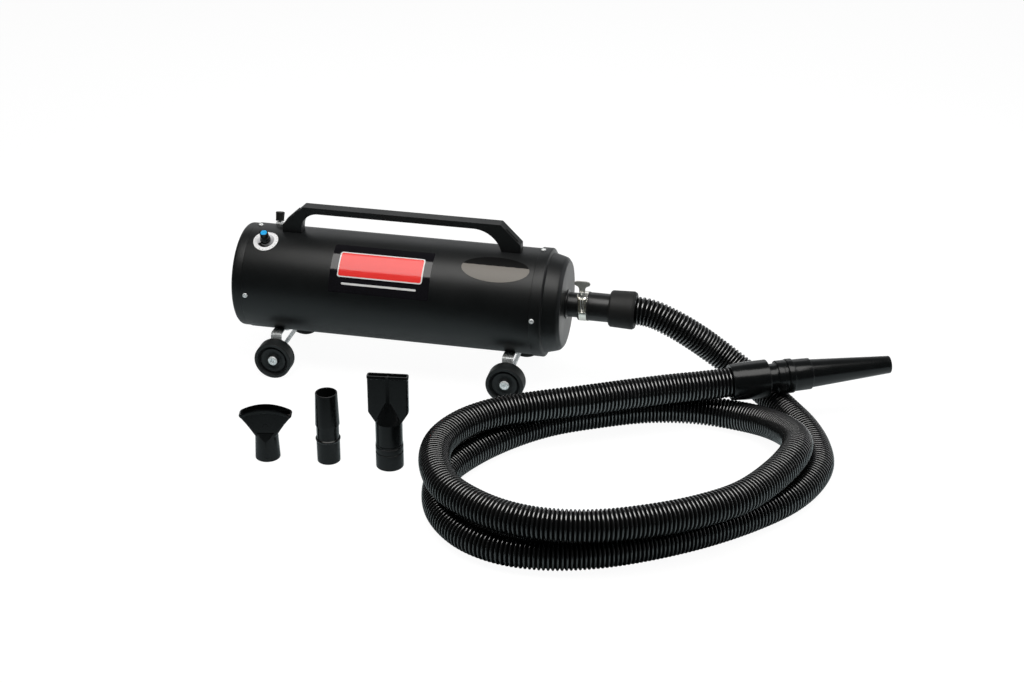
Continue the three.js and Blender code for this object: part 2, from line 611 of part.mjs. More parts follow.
function flatNozzle() {
  const neckR = 25.5;
  const half = BLADE.width / 2;
  const blade = new THREE.Shape();
  blade.moveTo(-neckR, 92);
  blade.lineTo(neckR, 92);
  blade.lineTo(half, BLADE.z0);
  blade.lineTo(half, BLADE.z1);
  blade.lineTo(-half, BLADE.z1);
  blade.lineTo(-half, BLADE.z0);
  const slot = new THREE.Shape();
  slot.moveTo(-20, 70);
  slot.lineTo(20, 70);
  slot.lineTo(half - 3, BLADE.z0);
  slot.lineTo(half - 3, BLADE.z1 + 2);
  slot.lineTo(3 - half, BLADE.z1 + 2);
  slot.lineTo(3 - half, BLADE.z0);
  const neck = turnedZ([[0, 0], [26.5, 0], [26.5, 45], [neckR, 46], [neckR, 93], [7.6, 139], [0, 139]]);
  const bore = turnedZ([[0, -1], [22, -1], [22, 90], [3, 132], [0, 132]]);
  return carve(neck, {
    add: [plateXZ(blade, -BLADE.depth / 2, BLADE.depth / 2)],
    cut: [bore, plateXZ(slot, 2.7 - BLADE.depth / 2, BLADE.depth / 2 - 2.7)],
  });
}

const FAN = { depth: 22, tipZ: 91, crownZ: 102, halfWidth: 50.5 };

/** Fan outline from its root at z0 to its arched top, drawn in by inset. */
function fanOutline(z0, rootHalf, inset, rise) {
  const half = FAN.halfWidth - inset;
  const outline = new THREE.Shape();
  outline.moveTo(-rootHalf, z0);
  outline.lineTo(rootHalf, z0);
  outline.lineTo(half, FAN.tipZ - 4 + rise);
  outline.lineTo(half - 1, FAN.tipZ + rise);
  outline.quadraticCurveTo(0, 2 * FAN.crownZ - FAN.tipZ + rise, 1 - half, FAN.tipZ + rise);
  outline.lineTo(-half, FAN.tipZ - 4 + rise);
  return outline;
}

function flareNozzle() {
  const socket = turnedZ([[0, 0], [23.9, 0], [21.5, 46], [19, 62], [10, 74], [0, 74]]);
  const bore = turnedZ([[0, -1], [20.4, -1], [18.5, 46], [15, 60], [7, 72], [0, 72]]);
  const wall = 2.6;
  return carve(socket, {
    add: [plateXZ(fanOutline(44, 18, 0, 0), -FAN.depth / 2, FAN.depth / 2)],
    cut: [bore, plateXZ(fanOutline(46, 13, 3.5, 4), wall - FAN.depth / 2, FAN.depth / 2 - wall)],
  });
}

/** Stands a nozzle on the floor at [x, y], turned about Z. */
function stand(name, geometry, [x, y], yawDegrees) {
  const nozzle = piece(name, geometry, PLASTIC);
  nozzle.position.set(x, y, 0);
  nozzle.rotation.z = THREE.MathUtils.degToRad(yawDegrees);
}

stand('flare_nozzle', flareNozzle(), FLARE_AT, 12);
stand('straight_nozzle', straightNozzle(), STRAIGHT_AT, 0);
stand('flat_nozzle', flatNozzle(), FLAT_AT, 7);

// ---------------------------------------------------------------- inside: filter, motors and fans

const FILTER_X = REAR_FACE_X + SHEET + GAP;
const filterProfile = [
  [FILTER_X, 0], [FILTER_X, SKIRT_R - 8], [FILTER_X + 3, SKIRT_R - 3], [FILTER_X + 12, SKIRT_R - 3],
  [FILTER_X + 12, 0],
];
const cordPass = turnedX(rod(FILTER_X - 2, FILTER_X + 20, 8), 16).translate(0, 0, -GLAND_DROP);
piece('intake_filter', carve(turnedX(filterProfile, 32), { cut: [cordPass] }), FOAM, canister);

const BLOWER_X = { rear: -290, front: -90 };
const DRUM_R = 72;
const FRAME_R = 44;
const blowerCase = [
  [0, 24], [0, DRUM_R], [50, DRUM_R], [50, FRAME_R], [126, FRAME_R], [126, 5], [123, 5], [123, FRAME_R - 3],
  [47, FRAME_R - 3], [47, DRUM_R - 3], [3, DRUM_R - 3], [3, 24],
];
const rotorProfile = [
  [8, 0], [8, 64], [34, 60], [34, 9], [56, 9], [56, 26], [108, 26], [108, 4.2], [128, 4.2], [128, 0],
];
for (const [end, x] of Object.entries(BLOWER_X)) {
  const blower = new THREE.Group();
  blower.position.x = x;
  canister.add(blower);
  piece(`blower_case_${end}`, turnedX(blowerCase), ALUMINIUM, blower);
  piece(`rotor_${end}`, turnedX(rotorProfile, 16), COPPER, blower);
  piece(`mount_ring_${end}`, turnedX(ring(18, 32, DRUM_R + GAP, SKIRT_R - 0.7)), RUBBER, blower);
}

root.position.set(-FOOTPRINT_X, -FOOTPRINT_Y, 0);
root.updateMatrixWorld(true);

export default root;
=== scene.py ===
"""The looks of the pet dryer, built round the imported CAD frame.

Sizes are in millimetres, in the CAD's own layout: the canister's axis is y = 0, z = 172.3, and the floor is z = 0.
TO_ROW takes them to the row frame in metres.
"""

import math

import bmesh
import bpy
import numpy as np
from mathutils import Matrix, Vector


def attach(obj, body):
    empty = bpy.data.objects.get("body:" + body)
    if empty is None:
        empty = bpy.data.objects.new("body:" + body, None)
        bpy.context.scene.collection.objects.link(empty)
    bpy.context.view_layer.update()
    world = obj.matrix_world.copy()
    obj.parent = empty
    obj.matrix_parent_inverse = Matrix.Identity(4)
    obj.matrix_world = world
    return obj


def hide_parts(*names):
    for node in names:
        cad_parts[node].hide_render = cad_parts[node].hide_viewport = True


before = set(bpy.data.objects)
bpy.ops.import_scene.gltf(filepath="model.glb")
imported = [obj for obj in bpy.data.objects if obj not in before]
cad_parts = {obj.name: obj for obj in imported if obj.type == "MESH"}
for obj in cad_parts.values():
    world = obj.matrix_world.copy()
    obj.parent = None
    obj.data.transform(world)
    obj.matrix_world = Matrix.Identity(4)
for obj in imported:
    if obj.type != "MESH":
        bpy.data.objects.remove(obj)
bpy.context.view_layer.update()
scene = bpy.context.scene

TO_ROW = Matrix.Translation((0.01365, 0.15955, 0)) @ Matrix.Scale(0.001, 4)
AXIS_Z = 172.3
CANISTER_R = 105
WHEEL_R = 37.8
WHEEL_X = {"rear": -319.9, "front": 154.5}
WHEEL_FACE_Y = 114.4
WHEEL_WIDTH = 29
TYRE_SIDES = 128
HOSE_R = 28.5
HOSE_SIDES = 30
RIB_PITCH = 7.4
RIB_DEPTH = 4.4
RIB_RINGS = 6  # rings of vertices in each rib
SHARP = 32  # degrees between two faces, from which their edge is shaded sharp
DIAL_X = -345
DIAL_TILT = 24
SWITCH_X = -340
SWITCH_TILT = -17
FLOOR_HALF = 6  # metres
FLOOR_GAP = 0.0004  # metres, so that pieces that stand on the floor don't share its plane


def shift(x=0.0, y=0.0, z=0.0):
    return Matrix.Translation((x, y, z))


def turn(degrees, axis):
    return Matrix.Rotation(math.radians(degrees), 4, axis)


CANISTER = shift(0, 0, AXIS_Z)
ALONG_X = CANISTER @ turn(90, "Y")  # local z runs along the canister
HOSE_END = (601, -98.2, 91)
TIP = shift(*HOSE_END) @ turn(23, "Z") @ turn(-1.6, "Y") @ turn(90, "Y") @ shift(0, 0, -6)


def on_wall(x, tilt):
    """A place on the canister's wall, tilt degrees from the top towards -Y. Local z points straight out."""
    t = math.radians(tilt)
    return shift(x, -CANISTER_R * math.sin(t), AXIS_Z + CANISTER_R * math.cos(t)) @ turn(tilt, "X")


# ------------------------ camera, floor and light


def make_camera():
    yaw, pitch, roll = (math.radians(a) for a in (12.0, 26.86, 0.33))
    forward = Vector((-math.sin(yaw) * math.cos(pitch), math.cos(yaw) * math.cos(pitch), -math.sin(pitch)))
    right = Vector((math.cos(yaw), math.sin(yaw), 0))
    up = right.cross(forward)
    level = Matrix((right, up, -forward)).transposed().to_4x4()
    camera = bpy.data.objects.new("camera", bpy.data.cameras.new("camera"))
    camera.data.lens = 65.37
    camera.data.sensor_width = 36
    camera.data.clip_end = 50
    camera.matrix_world = Matrix.Translation((0.84801, -3.08088, 1.75541)) @ level @ Matrix.Rotation(roll, 4, "Z")
    scene.collection.objects.link(camera)
    scene.camera = camera


def node(tree, kind, **inputs):
    """A shader node. Keyword names are its properties, or its input sockets with _ for a space."""
    made = tree.nodes.new("ShaderNode" + kind)
    for name, value in inputs.items():
        if hasattr(made, name):
            setattr(made, name, value)
        else:
            made.inputs[name.replace("_", " ")].default_value = value
    return made


def ramp(tree, *stops):
    """A colour ramp through stops of (position, red, green, blue)."""
    made = node(tree, "ValToRGB")
    elements = made.color_ramp.elements
    for element, (position, *colour) in zip(elements, (stops[0], stops[-1])):
        element.position, element.color = position, (*colour, 1)
    for position, *colour in stops[1:-1]:
        elements.new(position).color = (*colour, 1)
    return made


def by_ray(tree, mirrored, seen, output):
    """One shader for what the camera sees itself, and another for what light and reflections meet."""
    which = node(tree, "MixShader")
    tree.links.new(node(tree, "LightPath").outputs["Is Camera Ray"], which.inputs[0])
    tree.links.new(mirrored.outputs[0], which.inputs[1])
    tree.links.new(seen.outputs[0], which.inputs[2])
    tree.links.new(which.outputs[0], output.inputs["Surface"])


def make_world():
    """White to the camera. What the glossy pieces see is a dark room with a pale backdrop behind the dryer."""
    world = bpy.data.worlds.new("studio")
    world.use_nodes = True
    scene.world = world
    tree = world.node_tree
    link = tree.links.new
    shown = tree.nodes["Background"]
    shown.inputs["Color"].default_value = (1, 1, 1, 1)
    shown.inputs["Strength"].default_value = 1.0
    split = node(tree, "SeparateXYZ")
    link(node(tree, "TexCoord").outputs["Generated"], split.inputs[0])
    behind = node(tree, "MapRange", From_Min=-0.15, From_Max=0.75, To_Min=0.03, To_Max=0.42,
                  interpolation_type="SMOOTHSTEP")
    link(split.outputs["Y"], behind.inputs["Value"])
    low = node(tree, "MapRange", From_Min=0.95, From_Max=0.2, To_Min=0.25, To_Max=1.0,
               interpolation_type="SMOOTHSTEP")
    link(split.outputs["Z"], low.inputs["Value"])
    product = node(tree, "Math", operation="MULTIPLY")
    link(behind.outputs[0], product.inputs[0])
    link(low.outputs[0], product.inputs[1])
    room = node(tree, "Background", Color=(0.96, 0.98, 1.0, 1))
    link(product.outputs[0], room.inputs["Strength"])
    by_ray(tree, room, shown, tree.nodes["World Output"])


def make_floor():
    """A pale floor: nearly shadowless white to the camera. In reflections it is dark in front of the dryer and
    pale behind it.
    """
    material = bpy.data.materials.new("pale_floor")
    material.use_nodes = True
    tree = material.node_tree
    link = tree.links.new
    tree.nodes.clear()
    shown = node(tree, "BsdfDiffuse", Color=(0.13, 0.13, 0.13, 1))
    glow = node(tree, "Emission", Color=(1, 1, 1, 1), Strength=0.95)
    seen = node(tree, "AddShader")
    link(shown.outputs[0], seen.inputs[0])
    link(glow.outputs[0], seen.inputs[1])
    lit, glowing = node(tree, "BsdfDiffuse"), node(tree, "Emission")
    mirrored = node(tree, "AddShader")
    link(lit.outputs[0], mirrored.inputs[0])
    link(glowing.outputs[0], mirrored.inputs[1])
    depth = node(tree, "SeparateXYZ")
    link(node(tree, "TexCoord").outputs["Object"], depth.inputs[0])
    along = node(tree, "MapRange", From_Min=-2.0, From_Max=1.0)
    link(depth.outputs["Y"], along.inputs["Value"])
    levels = ((0.36, 0.12), (0.46, 0.32), (0.57, 0.62), (0.66, 0.68))
    shade = ramp(tree, (0.12, 0.02, 0.02, 0.02), *((at, v * 0.84, v * 0.98, v * 1.02) for at, v in levels),
                 (0.80, 0.90, 0.92, 0.92))
    link(along.outputs[0], shade.inputs["Fac"])
    link(shade.outputs["Color"], lit.inputs["Color"])
    link(shade.outputs["Color"], glowing.inputs["Color"])
    far = node(tree, "MapRange", From_Min=0.5, From_Max=1.0, To_Min=0.0, To_Max=0.45)
    link(along.outputs[0], far.inputs["Value"])
    link(far.outputs[0], glowing.inputs["Strength"])
    by_ray(tree, mirrored, seen, node(tree, "OutputMaterial"))
    mesh = bpy.data.meshes.new("floor")
    r = FLOOR_HALF
    mesh.from_pydata([(-r, -r, 0), (r, -r, 0), (r, r, 0), (-r, r, 0)], [], [(0, 1, 2, 3)])
    mesh.materials.append(material)
    floor = bpy.data.objects.new("floor", mesh)
    floor.location.z = -FLOOR_GAP
    scene.collection.objects.link(floor)


def softbox(name, place, aim, width, height, radiance, tint=(1, 1, 1)):
    light = bpy.data.lights.new(name, "AREA")
    light.shape = "RECTANGLE"
    light.size, light.size_y = width, height
    light.energy = math.pi * radiance * width * height
    light.color = tint
    lamp = bpy.data.objects.new(name, light)
    lamp.location = place
    lamp.rotation_mode = "QUATERNION"
    lamp.rotation_quaternion = (Vector(aim) - Vector(place)).to_track_quat("-Z", "Y")
    scene.collection.objects.link(lamp)


make_camera()
make_world()
make_floor()
softbox("key", (0.4, -0.35, 1.9), (0.35, 0.05, 0.2), 2.8, 1.15, 4.1, (1, 0.99, 0.97))
softbox("side", (2.1, 0.9, 0.9), (0.3, 0.1, 0.2), 0.9, 1.4, 1.1, (0.97, 0.98, 1))
softbox("back", (-0.5, 2.2, 1.3), (0.1, 0.1, 0.2), 2.8, 1.0, 0.6, (0.98, 0.99, 1))
scene.view_settings.view_transform = "Standard"
scene.view_settings.look = "None"

# ------------------------ materials


def surface(name, colour, rough, metallic=0.0, specular=0.5, coat=0.0, tone=0.12, patch=14.0,
            grain=900.0, bump=0.12, height=0.00015, streak=None):
    """A surface whose colour and gloss wander a little, over a fine grain.

    rough is its least and greatest roughness, patch the size of the mottling and grain that of the texture, both
    per metre. streak stretches the grain, as brushing or a drawn sheet does.
    """
    material = bpy.data.materials.new(name)
    material.use_nodes = True
    tree = material.node_tree
    link = tree.links.new
    shader = tree.nodes["Principled BSDF"]
    for socket, value in (("Metallic", metallic), ("Specular IOR Level", specular), ("Coat Weight", coat),
                          ("Coat Roughness", 0.08)):
        shader.inputs[socket].default_value = value
    place = node(tree, "TexCoord")
    mottling = node(tree, "TexNoise", Scale=patch, Detail=5.0, Roughness=0.6)
    link(place.outputs["Object"], mottling.inputs["Vector"])
    gloss = node(tree, "MapRange", From_Min=0.3, From_Max=0.7, To_Min=rough[0], To_Max=rough[1])
    link(mottling.outputs["Fac"], gloss.inputs["Value"])
    link(gloss.outputs[0], shader.inputs["Roughness"])
    shades = ramp(tree, (0.3, *(c * (1 - tone) for c in colour)), (0.72, *(min(1, c * (1 + tone)) for c in colour)))
    fine = node(tree, "TexNoise", Scale=grain, Detail=3.0, Roughness=0.55)
    if streak:
        stretch = node(tree, "Mapping", Scale=streak)
        link(place.outputs["Object"], stretch.inputs["Vector"])
        link(stretch.outputs[0], fine.inputs["Vector"])
    else:
        link(place.outputs["Object"], fine.inputs["Vector"])
    both = node(tree, "Mix", data_type="FLOAT")
    both.inputs["Factor"].default_value = 0.35
    link(mottling.outputs["Fac"], both.inputs["A"])
    link(fine.outputs["Fac"], both.inputs["B"])
    link(both.outputs["Result"], shades.inputs["Fac"])
    link(shades.outputs["Color"], shader.inputs["Base Color"])
    relief = node(tree, "Bump", Strength=bump, Distance=height)
    link(fine.outputs["Fac"], relief.inputs["Height"])
    link(relief.outputs["Normal"], shader.inputs["Normal"])
    return material


POWDER = surface("powder_coat", (0.0045, 0.0053, 0.0056), (0.37, 0.43), grain=1100, bump=0.35, height=0.00012,
                 specular=0.40)
HANDLE_PLASTIC = surface("handle_plastic", (0.0065, 0.0072, 0.0074), (0.40, 0.48), grain=1600, bump=0.3,
                         height=0.0001, specular=0.36)
MOULDED = surface("moulded_plastic", (0.0052, 0.0060, 0.0062), (0.17, 0.25), grain=260, bump=0.08, height=0.0002,
                  patch=30, specular=0.34)
SATIN = surface("satin_plastic", (0.008, 0.0087, 0.0090), (0.30, 0.38), grain=700, patch=30)
HOSE_PLASTIC = surface("hose_plastic", (0.0065, 0.0072, 0.0074), (0.16, 0.22), specular=1.0, coat=1.0, grain=500,
                       bump=0.1, patch=22)
HOSE_PLASTIC.node_tree.nodes["Principled BSDF"].inputs["IOR"].default_value = 1.65
# Darker and duller than hose_plastic: painted shade for the faces down in the hose's grooves.
HOSE_GROOVE_SHADE = surface("hose_groove_painted_shade", (0.0022, 0.0024, 0.0025), (0.46, 0.58), specular=0.2, grain=500, bump=0.1,
                      patch=22)
RUBBER = surface("black_rubber", (0.0095, 0.0098, 0.0095), (0.50, 0.62), grain=1300, bump=0.3, height=0.0001,
                 specular=0.4)
TYRE = surface("wheel_rubber", (0.0125, 0.0145, 0.0150), (0.46, 0.60), bump=0.3, specular=0.4, patch=60)
# Darker than wheel_rubber: painted shade for the recessed groove in the wheel's face.
TYRE_GROOVE_SHADE = surface("wheel_groove_painted_shade", (0.0045, 0.0052, 0.0054), (0.50, 0.62), bump=0.3, specular=0.25, patch=60)
ZINC = surface("zinc_plate", (0.95, 1.0, 1.0), (0.22, 0.34), metallic=0.35, grain=2200, height=0.00005, patch=180,
               tone=0.1)
STAINLESS = surface("stainless", (0.97, 0.93, 0.86), (0.13, 0.24), metallic=0.92, bump=0.15, height=0.00004,
                    streak=(4, 0.3, 0.3), patch=120, tone=0.07)
DULL = surface("dull_metal", (0.36, 0.365, 0.335), (0.48, 0.66), metallic=0.3, grain=2600, bump=0.6, height=0.0001,
               patch=260, tone=0.22)
SILVER = surface("dial_silver", (0.90, 0.90, 0.93), (0.30, 0.42), metallic=0.15, grain=1400, bump=0.1, patch=90,
                 tone=0.05)
DIAL_WHITE = surface("dial_white", (0.97, 0.97, 1.0), (0.30, 0.40), grain=1400, bump=0.06, patch=90, tone=0.03)
BLUE = surface("blue_cap", (0.02, 0.46, 1.0), (0.26, 0.36), bump=0.1, patch=200, tone=0.08)
FILM = surface("label_black", (0.0075, 0.007, 0.009), (0.07, 0.11), grain=160, bump=0.04, height=0.0002, patch=25)
FILM_RED = surface("label_red", (1.0, 0.050, 0.045), (0.07, 0.12), grain=160, bump=0.04, height=0.0002, tone=0.05)
FILM_WHITE = surface("label_white", (0.85, 0.85, 0.84), (0.08, 0.14), grain=160, bump=0.04, tone=0.02)
TAUPE = surface("label_taupe", (0.20, 0.185, 0.165), (0.34, 0.42), bump=0.1, tone=0.05, specular=0.3)
OVAL_BLACK = surface("oval_black", (0.0015, 0.0015, 0.0015), (0.44, 0.52), bump=0.1, specular=0.12)
FOAM = surface("filter_foam", (0.03, 0.03, 0.032), (0.85, 0.98), grain=800, bump=1.0, height=0.001, specular=0.2)
ALUMINIUM = surface("cast_aluminium", (0.55, 0.56, 0.57), (0.36, 0.52), metallic=1, grain=1500, bump=0.5, tone=0.08)
COPPER = surface("copper", (0.55, 0.27, 0.15), (0.28, 0.44), metallic=1, grain=1300, bump=0.4, streak=(0.2, 2, 2))

# ------------------------ mesh building


def rounded(points, loop=True, steps=5):
    """A line through (a, b) or (a, b, fillet radius) points, with the corners rounded."""
    line = []
    for i, point in enumerate(points):
        here = np.array(point[:2], float)
        radius = point[2] if len(point) > 2 else 0
        if not radius or (not loop and i in (0, len(points) - 1)):
            line.append(here)
            continue
        u = np.array(points[i - 1][:2], float) - here
        v = np.array(points[(i + 1) % len(points)][:2], float) - here
        long_u, long_v = np.linalg.norm(u), np.linalg.norm(v)
        u, v = u / long_u, v / long_v
        half = math.acos(float(np.clip(u @ v, -1, 1))) / 2
        if half > 1.56:
            line.append(here)
            continue
        reach = min(radius / math.tan(half), 0.49 * long_u, 0.49 * long_v)
        radius = reach * math.tan(half)
        middle = (u + v) / np.linalg.norm(u + v)
        centre = here + middle * radius / math.sin(half)
        start, end = here + u * reach - centre, here + v * reach - centre
        sweep = math.pi - 2 * half
        for k in range(steps + 1):
            t = k / steps
            spot = (math.sin((1 - t) * sweep) * start + math.sin(t * sweep) * end) / math.sin(sweep)
            line.append(centre + spot)
    return [tuple(p) for p in line]


def turned(profile, sides=96, loop=True, shape=None):
    """Vertices and faces turned about local z from (height, radius) points.

    A profile that ends on the axis isn't a loop. shape may move the points: it takes and gives an (n, 3) array.
    """
    angles = np.linspace(0, 2 * math.pi, sides, endpoint=False)
    verts, rings = [], []
    for height, radius in profile:
        if radius < 1e-6:
            rings.append([len(verts)] * sides)
            verts.append((0, 0, height))
        else:
            rings.append(list(range(len(verts), len(verts) + sides)))
            verts += [(radius * math.cos(a), radius * math.sin(a), height) for a in angles]
    faces = []
    pairs = list(zip(rings, rings[1:])) + ([(rings[-1], rings[0])] if loop else [])
    for low, high in pairs:
        for j in range(sides):
            k = (j + 1) % sides
            corners = []
            for c in (low[j], low[k], high[k], high[j]):
                if c not in corners:
                    corners.append(c)
            if len(corners) > 2:
                faces.append(corners)
    verts = np.array(verts, float)
    return (shape(verts) if shape else verts), faces


def merged(*parts):
    """Several (vertices, faces) as one, each with an optional matrix."""
    verts, faces = [], []
    for part in parts:
        points, corners = np.array(part[0], float), part[1]
        if len(part) > 2:
            m = np.array(part[2])
            points = points @ m[:3, :3].T + m[:3, 3]
        faces += [[c + len(verts) for c in face] for face in corners]
        verts += [tuple(p) for p in points]
    return verts, faces


def prism(outline, low, high):
    """A solid from an outline in x and z, given thickness along y."""
    n = len(outline)
    verts = [(x, y, z) for y in (low, high) for x, z in outline]
    faces = [list(range(n)), list(range(2 * n - 1, n - 1, -1))]
    faces += [[i, i + n, (i + 1) % n + n, (i + 1) % n] for i in range(n)]
    return verts, faces


def build(name, part, materials, at=Matrix.Identity(4), sharp=SHARP, slots=None):
    """A mesh object in the row frame from (vertices, faces) in millimetres."""
    mesh = bpy.data.meshes.new(name)
    mesh.from_pydata([tuple(v) for v in part[0]], [], [list(f) for f in part[1]])
    mesh.transform(TO_ROW @ at)
    for material in materials if isinstance(materials, (list, tuple)) else [materials]:
        mesh.materials.append(material)
    if slots is not None:
        mesh.polygons.foreach_set("material_index", slots)
    work = bmesh.new()
    work.from_mesh(mesh)
    bmesh.ops.recalc_face_normals(work, faces=work.faces)
    work.to_mesh(mesh)
    work.free()
    mesh.shade_smooth()
    mesh.set_sharp_from_angle(angle=math.radians(sharp))
    made = bpy.data.objects.new(name, mesh)
    scene.collection.objects.link(made)
    return made


def bevel(obj, width, segments=3, angle=30):
    """Rounds an object's edges and keeps its flat faces flat in shading. width is in millimetres."""
    edge = obj.modifiers.new("bevel", "BEVEL")
    edge.width = width / 1000
    edge.segments = segments
    edge.limit_method = "ANGLE"
    edge.angle_limit = math.radians(angle)
    edge.use_clamp_overlap = True
    obj.data.shade_smooth()
    normals = obj.modifiers.new("normals", "WEIGHTED_NORMAL")
    normals.keep_sharp = False
    normals.weight = 80
    return obj


def apply_modifiers(obj):
    bpy.context.view_layer.update()
    mesh = bpy.data.meshes.new_from_object(obj.evaluated_get(bpy.context.evaluated_depsgraph_get()))
    obj.modifiers.clear()
    obj.data = mesh


def combine(obj, others, operation="DIFFERENCE"):
    """obj with the others cut out of it, or joined to it."""
    for other in others:
        change = obj.modifiers.new("combine", "BOOLEAN")
        change.object = other
        change.operation = operation
        change.solver = "EXACT"
        apply_modifiers(obj)
        bpy.data.objects.remove(other)
    obj.data.shade_smooth()
    obj.data.set_sharp_from_angle(angle=math.radians(SHARP))


def finish(obj, body, slot, *cad):
    """Rides obj on a body and hides the CAD nodes that it stands for. slot is not used."""
    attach(obj, body)
    if cad:
        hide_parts(*cad)


# ------------------------ hose

HOSE_ROUTE = [
    (390.8, 0, 172.3), (410, 0, 171.5), (434, 0, 166), (458, 0, 156), (482, 1, 144), (515, 5, 123),
    (547, 9, 100), (601, 2, 66), (658, -36, 41), (703, -84, 30), (739, -142, 29.5), (764, -205, 29),
    (774, -268, 29), (762, -330, 29), (730, -397, 29), (672, -468, 29), (592, -541, 29), (500, -604, 29),
    (420, -644, 29), (340, -665, 29), (265, -662, 29), (200, -634, 29), (148, -580, 29), (122, -516, 29),
    (117, -440, 29), (144, -368, 29), (196, -289, 29), (262, -222, 29), (346, -170, 29), (440, -127, 29),
    (530, -111, 29), (617, -122, 31), (680, -166, 45), (728, -257, 72), (733, -330, 86), (708, -412, 87),
    (656, -506, 87), (590, -567, 87), (510, -616, 87), (430, -650, 87), (350, -664, 87), (280, -657, 87),
    (215, -630, 87), (155, -583, 87), (116, -510, 87), (107, -436, 87), (132, -365, 87), (185, -306, 87),
    (255, -264, 87), (335, -225, 88), (415, -182, 88), (490, -145, 88.5), (545, -122, 89.2),
    (587, -104.1, 90.5), (601, -98.2, 91),
]


def smooth_path(points):
    """Points on the centripetal Catmull-Rom curve through the given ones."""
    per_span = 40
    p = np.array(points, float)
    p = np.vstack([2 * p[0] - p[1], p, 2 * p[-1] - p[-2]])
    line = []
    for a, b, c, d in zip(p, p[1:], p[2:], p[3:]):
        t1 = np.linalg.norm(b - a) ** 0.5
        t2 = t1 + np.linalg.norm(c - b) ** 0.5
        t3 = t2 + np.linalg.norm(d - c) ** 0.5
        t = np.linspace(t1, t2, per_span, endpoint=False)[:, None]
        ab, bc = a + (b - a) * t / t1, b + (c - b) * (t - t1) / (t2 - t1)
        cd = c + (d - c) * (t - t2) / (t3 - t2)
        abc = ab + (bc - ab) * t / t2
        bcd = bc + (cd - bc) * (t - t1) / (t3 - t1)
        line.append(abc + (bcd - abc) * (t - t1) / (t2 - t1))
    return np.vstack([*line, p[-2:-1]])


def evenly(line, step):
    """The line again in equal steps near the given one, and its length."""
    along = np.concatenate([[0], np.cumsum(np.linalg.norm(np.diff(line, axis=0), axis=1))])
    at = np.linspace(0, along[-1], round(along[-1] / step) + 1)
    return np.stack([np.interp(at, along, line[:, k]) for k in range(3)], axis=1), along[-1]


def hose_mesh():
    """The corrugated tube, its material slots and its middle line.

    The ribs close up and flatten on the inside of tight bends.
    """
    line, length = evenly(smooth_path(HOSE_ROUTE), RIB_PITCH / RIB_RINGS)
    tangent = np.gradient(line, axis=0)
    tangent /= np.linalg.norm(tangent, axis=1)[:, None]
    step = length / (len(line) - 1)
    curve = np.gradient(tangent, axis=0) / step
    reach = 13  # rings on either side that the curvature is averaged over
    window = np.hanning(2 * reach + 1)
    window /= window.sum()
    curve = np.stack([np.convolve(np.pad(curve[:, k], reach, "edge"), window, "valid") for k in range(3)], axis=1)
    normal = np.zeros_like(line)
    normal[0] = np.cross(tangent[0], (0, 1, 0))
    for i in range(1, len(line)):
        carried = normal[i - 1] - tangent[i] * (normal[i - 1] @ tangent[i])
        normal[i] = carried / np.linalg.norm(carried)
    side = np.cross(tangent, normal)
    sides = HOSE_SIDES
    angles = np.linspace(0, 2 * math.pi, sides, endpoint=False)
    out = normal[:, None, :] * np.cos(angles)[None, :, None] + side[:, None, :] * np.sin(angles)[None, :, None]
    spacing = 1 - HOSE_R * (out * curve[:, None, :]).sum(2)  # of the ribs, where 1 is that of a straight hose
    depth = RIB_DEPTH * np.clip((spacing - 0.62) / 0.30, 0.5, 1)
    phase = 2 * math.pi * np.arange(len(line)) / RIB_RINGS
    valley = (0.5 - 0.5 * np.cos(phase)) ** 1.7  # 0 on a crest and 1 in a groove, with wide crests
    radius = HOSE_R - depth * valley[:, None] - 0.15 * (1 - depth / RIB_DEPTH)
    points = line[:, None, :] + out * radius[:, :, None]
    verts = [tuple(p) for p in points.reshape(-1, 3)]
    rows = np.arange(len(line) - 1)[:, None] * sides
    j, k = np.arange(sides)[None, :], (np.arange(sides)[None, :] + 1) % sides
    faces = np.stack([rows + j, rows + k, rows + sides + k, rows + sides + j], axis=2).reshape(-1, 4).tolist()
    last = (len(line) - 1) * sides
    faces += [list(range(sides)), list(range(last + sides - 1, last - 1, -1))]
    # Faces down in the grooves take the darker material: painted shade.
    groove_shaded = (valley[:-1] + valley[1:]) / 2 > 0.3
    slots = np.repeat(groove_shaded.astype(int), sides).tolist() + [0, 0]
    return (verts, faces), slots, line


def lip(sides, profile):
    """A turned ring or tube from its closed profile, with the profile's corners rounded."""
    return turned(rounded(profile), sides)


hose_tube, hose_slots, hose_line = hose_mesh()
hose = build("hose_corrugated", hose_tube, [HOSE_PLASTIC, HOSE_GROOVE_SHADE], slots=hose_slots, sharp=80)
finish(hose, "dryer", "hose_plastic", "hose")

end_cuff = build("end_cuff_moulded", lip(96, [
    (-4, 28.7), (-4, 34.2, 1.2), (2.2, 34.9, 0.8), (22, 36.2, 4), (66.8, 36.6, 1.2), (68, 35.8, 1.0),
    (68, 27.6, 0.5), (50, 27.6), (50, 22), (10, 22), (10, 28.4), (0, 28.7)]), MOULDED, TIP)
finish(end_cuff, "dryer", "moulded_plastic", "end_cuff")
swivel = build("swivel_moulded", lip(96, [
    (52, 19), (142, 19, 0.8), (142, 24, 0.8), (105.3, 24.6), (105.3, 31.8, 0.8), (99, 31.9, 0.3), (98.4, 31.4, 0.3),
    (97.6, 31.4, 0.3), (97, 31.9, 0.3), (86, 31.8, 1.2), (86, 28.4, 0.8), (83.5, 27, 0.6), (52, 26.8)]), MOULDED, TIP)
finish(swivel, "swivel", "moulded_plastic", "swivel_connector")
nozzle = build("blower_nozzle_moulded", lip(128, [
    (106, 25), (143, 25), (147, 22, 2), (314.2, 14.6, 0.5), (314.2, 16.9, 0.9), (154, 27.3, 1.5), (152.9, 28.2, 0.3),
    (152.9, 30.2, 1.2), (124, 30.8), (118.2, 31, 0.8), (117.5, 33.2, 1.0), (106, 33.2, 1.0)]), MOULDED, TIP)
finish(nozzle, "blower_nozzle", "moulded_plastic", "blower_nozzle")

# ------------------------ canister and covers


